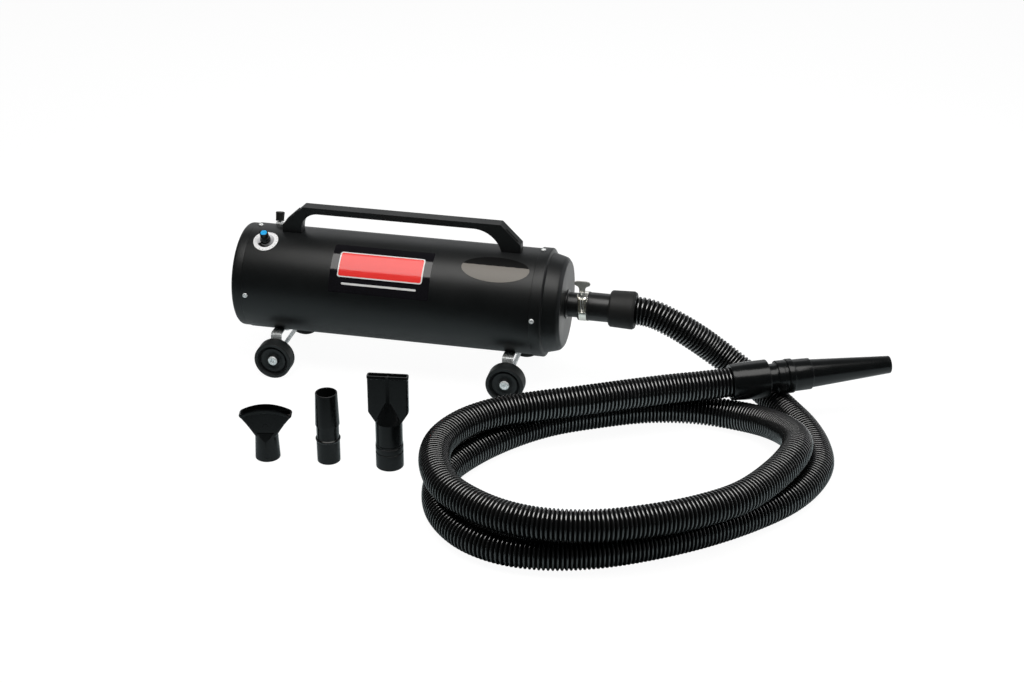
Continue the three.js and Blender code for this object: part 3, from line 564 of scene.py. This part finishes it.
def canister():
    tube = [(-380.7, 102.5, 0.6), (214, 102.5, 0.6), (214, 105, 0.6), (-380.7, 105, 0.9)]
    finish(build("main_housing_rolled", lip(192, tube), POWDER, ALONG_X), "dryer", "powder_coat", "main_housing")

    front = [
        (200.3, 105.2), (200.3, 107.5, 0.8), (221.2, 107.5, 3.2), (223.4, 98.6, 1.6), (227, 97.9, 1.0),
        (243, 93.6, 4), (249.6, 91.5, 9), (256, 84, 7), (256, 24.8, 0.4), (253.5, 24.8), (253.5, 84, 6),
        (247.5, 90, 8), (219, 95.6), (219, 105.2),
    ]
    finish(build("front_cover_spun", lip(192, front), POWDER, ALONG_X), "dryer", "powder_coat", "front_cover")

    rear = [
        (-402.3, 0), (-402.3, 103.8, 6.5), (-381, 103.8, 0.4), (-380.2, 102.2, 0.4), (-358.7, 102.2, 0.4),
        (-358.7, 99.7), (-399.8, 99.7, 4.5), (-399.8, 0),
    ]
    cover = build("rear_cover_pressed", turned(rounded(rear, loop=False), 160, loop=False), POWDER, ALONG_X)
    slots = []
    for i in range(1, 12):
        stamp = prism(rounded([(36, -3, 3), (84, -3, 3), (84, 3, 3), (36, 3, 3)], steps=6), -6, 6)
        flat = shift(-401, 0, AXIS_Z) @ turn(30 * i, "X") @ turn(90, "Y") @ turn(90, "X")
        slots.append(build("slot", stamp, POWDER, flat))
    hole = build("slot", turned([(-6, 0), (-6, 7), (6, 7), (6, 0)], 40, loop=False), POWDER,
                 shift(-401, 0, AXIS_Z - 72) @ turn(90, "Y"))
    combine(cover, [*slots, hole])
    finish(cover, "dryer", "powder_coat", "rear_cover")

    gland = [
        (-416.3, 4.2), (-416.3, 7, 1.5), (-414, 7.4, 0.8), (-406.6, 9.1, 1.2), (-402.5, 11, 0.8), (-402.5, 6.7),
        (-396.8, 6.7), (-396.8, 4.2),
    ]
    finish(build("cord_gland_rubber", lip(64, gland), RUBBER, shift(0, 0, -72) @ ALONG_X), "dryer", "black_rubber",
           "cord_gland")


def screw(name, cad, at, radius, height, seat, tip, shank):
    """Pan head screw with a cross recess. seat is where the head begins and tip where the shank ends, along z."""
    crown = [(seat + height * (1 - 0.28 * (r / radius) ** 2), r) for r in np.linspace(0, 0.8 * radius, 15)]
    side = rounded([crown[-1], (seat + height * 0.45, radius, radius * 0.2), (seat, radius, radius * 0.06)],
                   loop=False, steps=4)[1:]
    profile = [*crown, *side, (seat, radius), (seat, shank), (tip + 1, shank), (tip, shank * 0.7), (tip, 0)]

    def recess(points):
        x, y = np.abs(points[:, 0]) / radius, np.abs(points[:, 1]) / radius
        arm = np.maximum(
            np.clip((0.17 - x) / 0.05, 0, 1) * np.clip((0.56 - y) / 0.12, 0, 1),
            np.clip((0.17 - y) / 0.05, 0, 1) * np.clip((0.56 - x) / 0.12, 0, 1),
        )
        top = points[:, 2] > seat + height * 0.6
        points[:, 2] -= np.where(top, arm * height * 0.5, 0)
        return points

    made = build(name, turned(profile, 64, loop=False, shape=recess), ZINC, at, sharp=50)
    finish(made, "dryer", "zinc_plate", cad)


def fasteners():
    for i, (front, rear) in enumerate(((-4.4, -5), (85.6, 89), (175.6, 178), (265.6, 268))):
        spin = turn(20 + 47 * i, "Z")
        screw(f"front_screw_{i + 1}", f"front_cover_screw_{i + 1}", on_wall(206, front) @ spin, 4.9, 2.7, 2.8, -7, 2)
        screw(f"rear_screw_{i + 1}", f"rear_cover_screw_{i + 1}", on_wall(-372, rear) @ spin, 4.9, 2.7, 0.3, -8, 2)


# ------------------------ handle


def handle():
    top, under, base = 333, 320.2, 195
    outline = rounded([
        (-319.5, base), (-319.5, 292, 3), (-275.5, top, 4), (124, top, 4), (164, 293, 3), (164, base), (127.5, base),
        (127.5, under, 58), (-280.5, under, 35), (-280.5, base),
    ], steps=12)
    bar = build("handle_moulded", prism(outline, -12, 12), HANDLE_PLASTIC)
    wall = build("wall", turned([(-420, 0), (-420, 105.2), (320, 105.2), (320, 0)], 192, loop=False), HANDLE_PLASTIC,
                 ALONG_X)
    combine(bar, [wall])
    bevel(bar, 2.1, 3, angle=40)
    finish(bar, "dryer", "moulded_plastic", "handle")
    for name, x, z, lean in (("rear", -299, 311, -43), ("front", 146, 311, 45)):
        place = shift(x, 0, z) @ turn(lean, "Y")
        frame_plate = prism([(-18.6, -0.8), (18.6, -0.8), (18.6, 0.5), (-18.6, 0.5)], -9.3, 9.3)
        panel = prism([(-16.8, -0.6), (16.8, -0.6), (16.8, 2.1), (-16.8, 2.1)], -7.6, 7.6)
        pad = build(f"handle_panel_{name}", merged(frame_plate, panel), HANDLE_PLASTIC, place)
        bevel(pad, 0.8, 3)
        finish(pad, "dryer", "moulded_plastic")


# ------------------------ wheels, brackets and axles


def strap():
    """The bent strap, with round ends about the axle. It hugs the canister between its two level shoulders.

    It is swept along points that hold y, z, half the strap's width there and the direction of its thickness.
    """
    half, leg_y, shoulder_z, bend = 11, 83.15, 83.8, 5.5
    hug, half_thick = CANISTER_R + 1.55, 1.25
    path = [(-leg_y, WHEEL_R - half * math.cos(a), half * math.sin(a), (-1, 0))
            for a in np.linspace(0.06, math.pi / 2, 10)]
    path += [(-leg_y, h, half, (-1, 0)) for h in np.linspace(WHEEL_R + 4, shoulder_z - bend, 4)]
    for a in np.radians(np.linspace(180, 90, 9))[1:]:
        path.append((-leg_y + bend + bend * math.cos(a), shoulder_z - bend + bend * math.sin(a), half,
                     (math.cos(a), math.sin(a))))
    path.append((-61.5, shoulder_z, half, (0.05, 1)))
    for a in np.radians(np.linspace(-33, 0, 12)):
        lean = a if a > -0.45 else 0.6 * a
        path.append((hug * math.sin(a), AXIS_Z - hug * math.cos(a), half, (-math.sin(lean), math.cos(lean))))
    path += [(-py, pz, wide, (-ny, nz)) for py, pz, wide, (ny, nz) in path[-2::-1]]
    verts, faces = [], []
    for py, pz, wide, (ny, nz) in path:
        for x, t in ((-wide, -half_thick), (wide, -half_thick), (wide, half_thick), (-wide, half_thick)):
            verts.append((x, py + ny * t, pz + nz * t))
    for i in range(len(path) - 1):
        faces += [[4 * i + j, 4 * i + (j + 1) % 4, 4 * i + 4 + (j + 1) % 4, 4 * i + 4 + j] for j in range(4)]
    last = 4 * (len(path) - 1)
    return verts, faces + [[0, 1, 2, 3], [last + 3, last + 2, last + 1, last]]


def running_gear():
    tyre = [
        (0, 4.3), (0, 36.8, 1.0), (1.4, WHEEL_R, 1.2), (27.8, WHEEL_R, 1.0), (29, 37.3, 0.7), (29, 31.4, 0.9),
        (21.6, 30.4, 1.0), (21.6, 27.0, 1.4), (24.2, 25.0, 1.8), (23.0, 19, 3), (21.2, 15.0, 1.6),
        (21.2, 12.6, 1.0), (25.8, 10.9, 0.8), (26.1, 9.8, 0.4), (26.1, 4.3),
    ]
    profile = rounded(tyre)
    # Faces of the groove in the wheel's face take the darker rubber: painted shade.
    in_shaded_groove = [int(20 < h < 28.2 and r > 25.6) for h, r in profile for _ in range(TYRE_SIDES)]
    for end, x in WHEEL_X.items():
        bracket = build(f"bracket_{end}_strap", strap(), ZINC, shift(x, 0, 0), sharp=60)
        bevel(bracket, 0.5, 2, angle=50)
        finish(bracket, "dryer", "zinc_plate", f"bracket_{end}")
        rod = rounded([(-110.9, 0), (-110.9, 4, 0.6), (110.9, 4, 0.6), (110.9, 0)], loop=False)
        finish(build(f"axle_{end}_rod", turned(rod, 48, loop=False), ZINC, shift(x, 0, WHEEL_R) @ turn(-90, "X")),
               "dryer", "zinc_plate", f"axle_{end}")
        screw(f"strap_bolt_{end}", f"bracket_bolt_{end}", shift(x, 0, 64.2) @ turn(180, "X"), 5.5, 3.5, 0, -12, 2.5)
        for hand, side in (("left", 1), ("right", -1)):
            hub = shift(x, side * (WHEEL_FACE_Y - WHEEL_WIDTH), WHEEL_R) @ turn(-90 * side, "X")
            body = f"wheel_{end}_{hand}"
            rubber = build(f"{body}_tyre", turned(profile, TYRE_SIDES), [TYRE, TYRE_GROOVE_SHADE], hub, slots=in_shaded_groove)
            finish(rubber, body, "wheel_rubber", body)
            spin = turn(25 if end == "rear" else 60, "Z")
            screw(f"hub_screw_{end}_{hand}", f"axle_screw_{end}_{hand}", hub @ spin, 9.5, 3.6, 26.4, 18.1, 2)


# ------------------------ knob, dial and switch


def wrapped(x, tilt, low, high):
    """A thin patch laid on the canister: grids of x and of tilt in degrees, between two radii."""
    x, tilt = np.array(x, float), np.radians(np.array(tilt, float))
    rows, columns = x.shape
    verts = []
    for r in (high, low):
        verts += list(zip(x.ravel(), (-r * np.sin(tilt)).ravel(), (r * np.cos(tilt)).ravel()))
    n = rows * columns
    faces = []
    for i in range(rows - 1):
        for j in range(columns - 1):
            a = i * columns + j
            quad = [a, a + 1, a + columns + 1, a + columns]
            faces += [quad, [q + n for q in quad[::-1]]]
    rim = list(range(columns)) + [i * columns + columns - 1 for i in range(1, rows)]
    rim += [(rows - 1) * columns + j for j in range(columns - 2, -1, -1)]
    rim += [i * columns for i in range(rows - 2, 0, -1)]
    faces += [[a, b, b + n, a + n] for a, b in zip(rim, rim[1:] + rim[:1])]
    return verts, faces


def strip(x0, x1, upper, lower, low, high, steps=60):
    """A patch between two edges, each a function of x that gives a tilt in degrees."""
    rows = 14
    u = 0.5 - 0.5 * np.cos(np.linspace(0, math.pi, steps))
    x = x0 + (x1 - x0) * u
    top, bottom = np.array([upper(v) for v in x]), np.array([lower(v) for v in x])
    share = np.linspace(0, 1, rows)[:, None]
    return wrapped(np.tile(x, (rows, 1)), top + (bottom - top) * share, low, high)


def panel_edges(x0, x1, top, bottom, radius):
    """Edges of a rectangle with rounded corners, for strip()."""
    degrees = math.degrees(1 / CANISTER_R)

    def inset(x):
        d = max(0.0, radius - min(x - x0, x1 - x))
        return (radius - math.sqrt(max(0.0, radius ** 2 - d ** 2))) * degrees

    return (lambda x: top + inset(x)), (lambda x: bottom - inset(x))


def labels():
    """The name label with its blank panel, and the oval label, dark above and grey-brown below."""

    def sheet(name, box, radius, low, high, material, *cad):
        x0, x1, top, bottom = box
        patch = strip(x0, x1, *panel_edges(x0, x1, top, bottom, radius), low, high)
        finish(build(name, patch, material, CANISTER), "dryer", "label_black", *cad)

    sheet("name_label_film", (-201, 0, 20, 75), 2.5, 105.08, 105.45, FILM, "name_label")
    sheet("name_label_border", (-186, -15, 29.5, 58.5), 5, 105.4, 105.56, FILM_WHITE)
    sheet("name_label_panel", (-183.6, -17.4, 30.8, 57.2), 3.4, 105.4, 105.68, FILM_RED)
    sheet("name_label_rule", (-176, -25, 64.2, 66.4), 1.9, 105.4, 105.56, FILM_WHITE)

    x, tilt, half_x, half_a = 124, 33, 67, 28.5
    degrees = math.degrees(1 / CANISTER_R)

    def rim(v):
        return half_a * degrees * math.sqrt(max(0.0004, 1 - ((v - x) / half_x) ** 2))

    def split(v):
        return tilt - 3.5 + 0.12 * math.sin((v - x) / 3.1)

    def end_of_upper(v):
        return max(tilt - rim(v) + 0.02, min(split(v), tilt + rim(v)))

    left, right = x - half_x, x + half_x
    upper = strip(left, right, lambda v: tilt - rim(v), end_of_upper, 105.08, 105.5, steps=120)
    lower = strip(left, right, lambda v: max(split(v), tilt - rim(v)), lambda v: tilt + rim(v), 105.08, 105.5,
                  steps=120)
    finish(build("power_label_lower", lower, TAUPE, CANISTER), "dryer", "label_taupe", "power_label")
    finish(build("power_label_upper", upper, OVAL_BLACK, CANISTER), "dryer", "label_black")


def dial_face_painted_shade():
    """Silver paint that darkens towards one side of the dial: painted shade from the knob."""
    material = SILVER.copy()
    material.name = "dial_painted_shade"
    tree = material.node_tree
    link = tree.links.new
    centred = node(tree, "Mapping", Location=(-0.5, -0.5, 0))
    link(tree.nodes["Texture Coordinate"].outputs["UV"], centred.inputs["Vector"])
    about = node(tree, "TexGradient", gradient_type="RADIAL")
    link(centred.outputs[0], about.inputs["Vector"])
    # The dark levels here are painted shade from the knob.
    levels = ((0.32, 0.70), (0.46, 0.46), (0.56, 0.30), (0.68, 0.13), (0.89, 0.13), (0.905, 0.72))
    shade = ramp(tree, (0, 0.90, 0.90, 0.94), *((at, v, v, v * 1.04) for at, v in levels), (1, 0.90, 0.90, 0.94))
    link(about.outputs["Fac"], shade.inputs["Fac"])
    link(shade.outputs["Color"], tree.nodes["Principled BSDF"].inputs["Base Color"])
    return material


def dial():
    """The dial plate: a disc with painted shade and a dark crescent, and a white ring with a scale of short marks."""
    sides, thin, thick = 180, 9, 72  # the crescent runs between these two of the sides
    heights = [0.45, 0.45, 0.45, 0.55, 0.55, 0.55, 0.55, 0.3]
    verts, faces, slots = [], [], []
    for layer in range(2):
        for i, h in enumerate(heights):
            for j in range(sides):
                share = (j - thin) / (thick - thin)
                inner = 16.8 - 6.6 * share if 0 <= share <= 1 else 16.8
                r = (5.4, inner, 17.0, 17.5, 21.4, 23.0, 24.6, 25.0)[i]
                a = 2 * math.pi * j / sides
                t = math.radians(DIAL_TILT) + r * math.sin(a) / CANISTER_R
                level = CANISTER_R + (h if layer == 0 else 0.02)
                verts.append((DIAL_X + r * math.cos(a), -level * math.sin(t), level * math.cos(t)))
    n = len(heights) * sides
    for i in range(len(heights) - 1):
        for j in range(sides):
            k = (j + 1) % sides
            quad = [i * sides + j, i * sides + k, (i + 1) * sides + k, (i + 1) * sides + j]
            faces += [quad, [q + n for q in quad[::-1]]]
            crescent = i == 1 and thin <= j < thick
            mark = i == 4 and j % 9 == 0 and not 60 <= j <= 84
            slots += [2 if crescent or mark else (0 if i < 2 else 1)] * 2
    for i in (0, len(heights) - 1):
        for j in range(sides):
            a, b = i * sides + j, i * sides + (j + 1) % sides
            faces.append([a, b, b + n, a + n])
            slots.append(1)
    made = build("dial_plate_printed", (verts, faces), [dial_face_painted_shade(), DIAL_WHITE, OVAL_BLACK], CANISTER, slots=slots)
    uv = made.data.uv_layers.new(name="dial")
    back = (TO_ROW @ CANISTER).inverted()
    for loop in made.data.loops:
        x, y, z = back @ made.data.vertices[loop.vertex_index].co
        across = (math.atan2(-y, z) - math.radians(DIAL_TILT)) * CANISTER_R
        uv.data[loop.index].uv = ((x - DIAL_X) / 50 + 0.5, across / 50 + 0.5)
    finish(made, "dryer", "dial_silver", "dial_plate")


def controls():
    dial()
    place = on_wall(DIAL_X, DIAL_TILT) @ turn(160, "Z")

    def fluted(points):
        a = np.arctan2(points[:, 1], points[:, 0])
        r = np.hypot(points[:, 0], points[:, 1])
        depth = np.where((points[:, 2] > 2.4) & (points[:, 2] < 11) & (r > 6), 0.45, 0) * (0.5 - 0.5 * np.cos(18 * a))
        points[:, :2] *= ((r - depth) / np.maximum(r, 1e-6))[:, None]
        return points

    body = rounded([
        (1.6, 3.3), (14, 3.3), (14, 2.3), (21.4, 2.3), (21.4, 6.5), (22.3, 6.6, 0.3), (22.3, 8.1, 0.7),
        (11, 8.8, 1.0), (9.0, 9.4, 0.8), (6.2, 10.4, 1), (1.6, 10.7, 0.6),
    ])
    skirt = turned(body, 144, shape=fluted)
    pointer = prism(rounded([(6.6, 8), (10.6, 8), (9.9, 22.6, 0.6), (6.6, 22.9, 0.5)]), -0.8, 0.8)
    knob = build("speed_knob_moulded", merged(skirt, pointer), MOULDED, place, sharp=40)
    finish(knob, "speed_knob", "moulded_plastic", "speed_knob")
    cap = rounded([(21.5, 0), (21.5, 6.3), (22.9, 6.3, 0.5), (23.4, 5.6, 0.5), (23.1, 4.4, 0.4), (23.05, 0)],
                  loop=False)
    stem = turned([(16, 0), (16, 2), (21.6, 2), (21.6, 0)], 32, loop=False)
    finish(build("knob_cap_insert", merged(turned(cap, 64, loop=False), stem), BLUE, place), "speed_knob", "blue_cap",
           "knob_cap")

    place = on_wall(SWITCH_X, SWITCH_TILT)
    hexagon = [(8.2 * math.cos(math.radians(a)), 8.2 * math.sin(math.radians(a))) for a in range(0, 360, 60)]
    nut = build("nut", prism(hexagon, 0.4, 5.2), ZINC, place @ turn(90, "X"))
    hole = build("hole", turned([(-1, 0), (-1, 5.8), (7, 5.8), (7, 0)], 48, loop=False), ZINC, place)
    combine(nut, [hole])
    nut.name = "switch_nut_hex"
    bevel(nut, 0.45, 2)
    finish(nut, "dryer", "zinc_plate", "switch_nut")
    boot = [(20.3, 0), (20.3, 2.5), (12, 2.5), (7.4, 3.4)] + rounded([
        (7.4, 3.4), (7.4, 8.6, 0.6), (9.2, 8.6, 0.6), (9.7, 8.2, 0.5), (23.4, 8.9, 0.4), (23.8, 9.15, 0.4),
        (25.4, 8.4, 1.3), (25.3, 0),
    ], loop=False)
    finish(build("switch_boot_rubber", turned(boot, 72, loop=False), RUBBER, place), "toggle", "black_rubber",
           "switch_boot")


# ------------------------ outlet, clamp and cuff


def outlet():
    tube = [
        (244, 21), (301, 21, 0.6), (301, 24.3, 0.8), (259.6, 24.3, 1.4), (258.3, 27.4, 0.8), (257.9, 29, 0.6),
        (256.3, 29), (256.3, 24.3), (244, 24.3),
    ]
    finish(build("outlet_tube_moulded", lip(96, tube), SATIN, ALONG_X), "dryer", "moulded_plastic", "outlet_tube")
    adapter = [
        (279.5, 24.6, 0.5), (302, 24.6), (302, 21), (374, 21), (374, 28), (301.5, 28, 0.6), (300.6, 28.9, 0.7),
        (299.3, 28.9, 0.7), (298.8, 28.1), (283.2, 28.1), (282.7, 28.9, 0.7), (281.2, 28.9, 0.7), (279.5, 27.2, 1.2),
    ]
    finish(build("hose_adapter_moulded", lip(96, adapter), SATIN, ALONG_X), "dryer", "moulded_plastic",
           "hose_adapter")
    cuff = [
        (341.5, 28.3), (374.5, 28.3), (374.5, 21.5), (388, 21.5), (388, 28.9), (392.6, 28.9, 0.8), (392.4, 34.6, 2.0),
        (387.4, 37.5, 3.2), (344.6, 35.9, 3.0), (341.5, 33, 1.6),
    ]
    finish(build("inlet_cuff_rubber", lip(96, cuff), RUBBER, ALONG_X), "dryer", "black_rubber", "inlet_cuff")


def clamp():
    band = [
        (283.6, 28.3), (298.4, 28.3), (298.5, 29.9, 0.5), (297.4, 29.5, 0.4), (284.6, 29.5, 0.4), (283.5, 29.9, 0.5),
    ]
    finish(build("clamp_band_strip", lip(128, band), STAINLESS, ALONG_X), "dryer", "stainless", "clamp_band")

    at = shift(291, -35, AXIS_Z)
    upright = at @ turn(90, "X")  # an outline's second number is then the distance from the band, along -Y
    cover = rounded([
        (-6.9, -9), (-6.9, -2.2, 1.2), (-5.6, -0.6, 0.5), (-5.2, 1.6, 1.6), (-3.2, 4.6, 2.4), (3.2, 4.6, 2.4),
        (5.2, 1.6, 1.6), (5.6, -0.6, 0.5), (6.9, -2.2, 1.2), (6.9, -9), (5.9, -9), (5.9, -3.4), (4.5, -1.6, 0.4),
        (4.2, 1.0, 1.4), (2.6, 3.7, 1.6), (-2.6, 3.7, 1.6), (-4.2, 1.0, 1.4), (-4.5, -1.6, 0.4), (-5.9, -3.4),
        (-5.9, -9),
    ], steps=4)
    shell = build("clamp_housing_pressed", prism(cover, 7, 31), STAINLESS, upright)
    notch = build("notch", prism([(-4.6, 6), (4.6, 6), (0, 13.5)], -8, 2), STAINLESS, at)
    combine(shell, [notch])
    bevel(shell, 0.25, 2)
    finish(shell, "dryer", "stainless", "clamp_screw_housing")
    rails = []
    for side in (-1, 1):
        line = [(6.95, 2), (6.95, 24, 8), (8.9, 37, 2), (9.7, 37.6, 0.5), (9.9, 36.4, 0.3), (7.9, 24, 8), (7.9, 2)]
        rails.append(prism([(side * x, z) for x, z in rounded(line, steps=5)], -1.8, 8.5))
    finish(bevel(build("clamp_side_rails", merged(*rails), STAINLESS, at), 0.2, 2), "dryer", "stainless")
    saddle = prism(rounded([
        (-7.6, -0.2), (7.6, -0.2), (7.6, 2.2, 0.5), (2.8, 3.4, 0.8), (0, 8.6, 0.7), (-2.8, 3.4, 0.8),
        (-7.6, 2.2, 0.5),
    ], steps=4), -1.0, 0.2)
    finish(bevel(build("clamp_saddle_tongue", saddle, STAINLESS, at), 0.2, 2), "dryer", "stainless")

    thread = [(2, 0)]
    for i in range(20):
        thread += [(2 + 1.6 * i, 3.0), (2.5 + 1.6 * i, 3.5), (3.1 + 1.6 * i, 3.5), (3.6 + 1.6 * i, 3.0)]
    thread += [(36, 3.0), (36, 0)]
    collar = build("collar", prism([(-4.3, 35.4), (4.3, 35.4), (4.3, 47.8), (-4.3, 47.8)], -4.3, 4.3), STAINLESS, at)
    hole = build("hole", turned([(-6, 0), (-6, 1.35), (6, 1.35), (6, 0)], 32, loop=False), STAINLESS,
                 at @ shift(0, 0, 43.4) @ turn(90, "X"))
    combine(collar, [hole])
    bevel(collar, 0.7, 3)
    collar.name = "clamp_key_collar"
    finish(collar, "clamp_key", "stainless")
    finish(build("clamp_worm_thread", turned(thread, 40, loop=False), STAINLESS, at), "clamp_key", "stainless")
    wing = rounded([
        (-5.6, 45.4), (5.6, 45.4), (6.0, 53, 4), (8.2, 57.2, 3), (14.6, 60.3, 3), (16.1, 64.2, 2.6), (13.4, 67.6, 3),
        (8.5, 68.7, 4), (-8.5, 68.7, 4), (-13.4, 67.6, 3), (-16.1, 64.2, 2.6), (-14.6, 60.3, 3), (-8.2, 57.2, 3),
        (-6.0, 53, 4),
    ], steps=6)
    key = bevel(build("clamp_key_wing", prism(wing, -1.7, 1.7), DULL, at), 0.8, 3)
    finish(key, "clamp_key", "dull_metal", "clamp_thumbscrew")


# ------------------------ nozzles on the floor


def divided(line):
    """The closed line, with its two long sides cut into equal parts."""
    parts = 24
    lengths = [math.dist(a, b) for a, b in zip(line, line[1:] + line[:1])]
    longest = sorted(range(len(line)), key=lambda i: -lengths[i])[:2]
    out = []
    for i, (a, b) in enumerate(zip(line, line[1:] + line[:1])):
        steps = parts if i in longest else 1
        out += [(a[0] + (b[0] - a[0]) * k / steps, a[1] + (b[1] - a[1]) * k / steps) for k in range(steps)]
    return out


def lofted(sections, bulge=None):
    """A solid through rounded rectangles: (z, half width, half depth, corner radius) from the bottom up."""
    verts, faces, n = [], [], 0
    for z, half_x, half_y, radius in sections:
        corners = [(half_x, -half_y), (half_x, half_y), (-half_x, half_y), (-half_x, -half_y)]
        line = divided(rounded([(x, y, radius) for x, y in corners], steps=9))
        n = len(line)
        verts += [(x, y, z + (bulge(x, z) if bulge else 0)) for x, y in line]
    for i in range(len(sections) - 1):
        faces += [[i * n + j, i * n + (j + 1) % n, (i + 1) * n + (j + 1) % n, (i + 1) * n + j] for j in range(n)]
    last = (len(sections) - 1) * n
    return verts, faces + [list(range(n)), list(range(last + n - 1, last - 1, -1))]


def moulding_mark(at, radius):
    """The round mark of an ejector pin, to be cut into a face that looks along -Y."""
    ring = turned([(-1, radius - 0.35), (0.35, radius - 0.35), (0.35, radius + 0.35), (-1, radius + 0.35)], 48)
    return build("mark", ring, MOULDED, at @ turn(-90, "X"))


def straight_nozzle():
    profile = rounded([
        (0, 18), (141, 17.8, 0.8), (141, 20.4, 1.0), (78, 22.3, 0.4), (75.6, 22.4, 0.6), (75.2, 20.9, 0.4),
        (49, 20.8, 0.5), (47.6, 23.1, 0.7), (45.4, 23.1, 0.9), (43, 21.7, 0.8), (0, 21.3, 0.8),
    ])
    made = build("straight_nozzle_moulded", turned(profile, 112), MOULDED, shift(-115.6, -397.6, 0))
    finish(made, "straight_nozzle", "moulded_plastic", "straight_nozzle")


def flat_nozzle():
    at = shift(0, -391.8, 0) @ turn(7, "Z")
    neck = [
        (0, 0), (0, 25.5, 0.8), (30.6, 25.7, 0.3), (31.3, 24.3, 0.3), (33.6, 24.3, 0.3), (34.3, 25.7, 0.3),
        (43.6, 25.7, 0.3), (44.3, 24.3, 0.3), (46.6, 24.3, 0.3), (47.2, 25.6, 0.4), (49, 24.9, 1), (93, 24.8, 2),
        (139, 6.0, 3), (142, 3.5), (142, 0),
    ]
    made = build("flat_nozzle_moulded", turned(rounded(neck, loop=False), 112, loop=False), MOULDED, at)
    blade = lofted([
        (88, 22.8, 6.9, 3.2), (92, 24.8, 7.2, 3.4), (111.5, 36.6, 7.4, 3.6), (113.4, 37.2, 7.4, 3.7),
        (180.5, 37.2, 7.3, 3.7), (181.6, 37.9, 8.0, 4.2), (186.0, 37.9, 8.0, 4.2), (187, 37.3, 7.4, 3.8),
    ])
    rib = prism(rounded([(-3.1, 128), (3.1, 128), (2.7, 186.6, 0.5), (-2.7, 186.6, 0.5)]), -8.4, 8.4)
    combine(made, [build("blade", blade, MOULDED, at), build("rib", rib, MOULDED, at)], "UNION")
    hollow = lofted([(84, 18.6, 4.6, 2.2), (112, 34.6, 4.9, 2.6), (185.6, 34.6, 4.9, 2.6), (187.5, 35.4, 5.7, 3.2)])
    bore = turned([(-1, 0), (-1, 21.4), (88, 21.4), (130, 3), (130, 0)], 96, loop=False)
    combine(made, [build("hollow", hollow, MOULDED, at), build("bore", bore, MOULDED, at)])
    web = build("web", prism([(-1.6, 118), (1.6, 118), (1.6, 184.5), (-1.6, 184.5)], -5.6, 5.6), MOULDED, at)
    combine(made, [web], "UNION")
    finish(made, "flat_nozzle", "moulded_plastic", "flat_nozzle")


def flare_nozzle():
    at = shift(-229.7, -410.8, 0) @ turn(12, "Z")
    socket = [(0, 0), (0, 23.2, 0.9), (45, 21.4), (56, 20.9, 0.6), (56, 0)]
    made = build("flare_nozzle_moulded", turned(rounded(socket, loop=False), 128, loop=False), MOULDED, at)

    def arch(x, z):
        return 13.4 * max(0.0, (z - 50) / 41) * (1 - (x / 48.6) ** 2)

    fan = lofted([
        (44, 15.5, 12.5, 5.5), (50, 20.2, 15.6, 6), (55, 24.0, 15.4, 5.6), (60, 27.8, 14.6, 5.2),
        (70, 35.6, 12.9, 4.8), (80, 43.2, 11.3, 4.4), (84.0, 46.2, 10.7, 4.4), (84.8, 46.9, 11.4, 4.8),
        (88.2, 48.4, 11.5, 4.8), (90.0, 48.6, 11.3, 4.8), (91, 48.0, 10.7, 4.4),
    ], arch)
    combine(made, [build("fan", fan, MOULDED, at)], "UNION")
    facets = []
    for side in (-1, 1):  # a flat pocket with its point down, where the fan meets the socket
        face = [(0, 22.0, 39.5), (17.0, 14.4, 58), (-17.0, 14.4, 58)]
        verts = [(side * x, -side * y, z) for x, y, z in face] + [(side * x, -side * 40, z) for x, y, z in face]
        sides = [[0, 1, 2], [5, 4, 3], [0, 3, 4, 1], [1, 4, 5, 2], [2, 5, 3, 0]]
        facets.append(build("facet", (verts, sides), MOULDED, at))
    hollow = lofted([
        (50, 17.6, 10.8, 4), (56, 22.4, 11.4, 4), (70, 33.2, 9.7, 3.8), (84, 43.8, 8.2, 3.2), (90, 45.4, 8.6, 3.4),
        (92, 46.2, 9.2, 3.8),
    ], arch)
    bore = turned([(-1, 0), (-1, 20.0), (44, 18.2), (53, 9.4), (53, 0)], 112, loop=False)
    marks = [moulding_mark(at @ shift(0, -12.8, 70), 5.0), moulding_mark(at @ shift(0, -22.7, 12), 3.6)]
    combine(made, [build("hollow", hollow, MOULDED, at), build("bore", bore, MOULDED, at), *facets, *marks])
    finish(made, "flare_nozzle", "moulded_plastic", "flare_nozzle")


# ------------------------ pieces inside, kept from the CAD

INSIDE = (
    (FOAM, ["intake_filter"]),
    (ALUMINIUM, ["blower_case_rear", "blower_case_front", "speed_control", "control_shaft"]),
    (COPPER, ["rotor_rear", "rotor_front"]),
    (RUBBER, ["mount_ring_rear", "mount_ring_front"]),
    (SATIN, ["switch_body"]),
    (ZINC, ["switch_lever", "handle_bolt_rear", "handle_bolt_front"]),
)


def insides():
    for material, names in INSIDE:
        for name in names:
            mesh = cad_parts[name].data
            mesh.materials.clear()
            mesh.materials.append(material)
            mesh.shade_smooth()
            mesh.set_sharp_from_angle(angle=math.radians(34))


canister()
fasteners()
handle()
running_gear()
labels()
controls()
outlet()
clamp()
straight_nozzle()
flat_nozzle()
flare_nozzle()
insides()
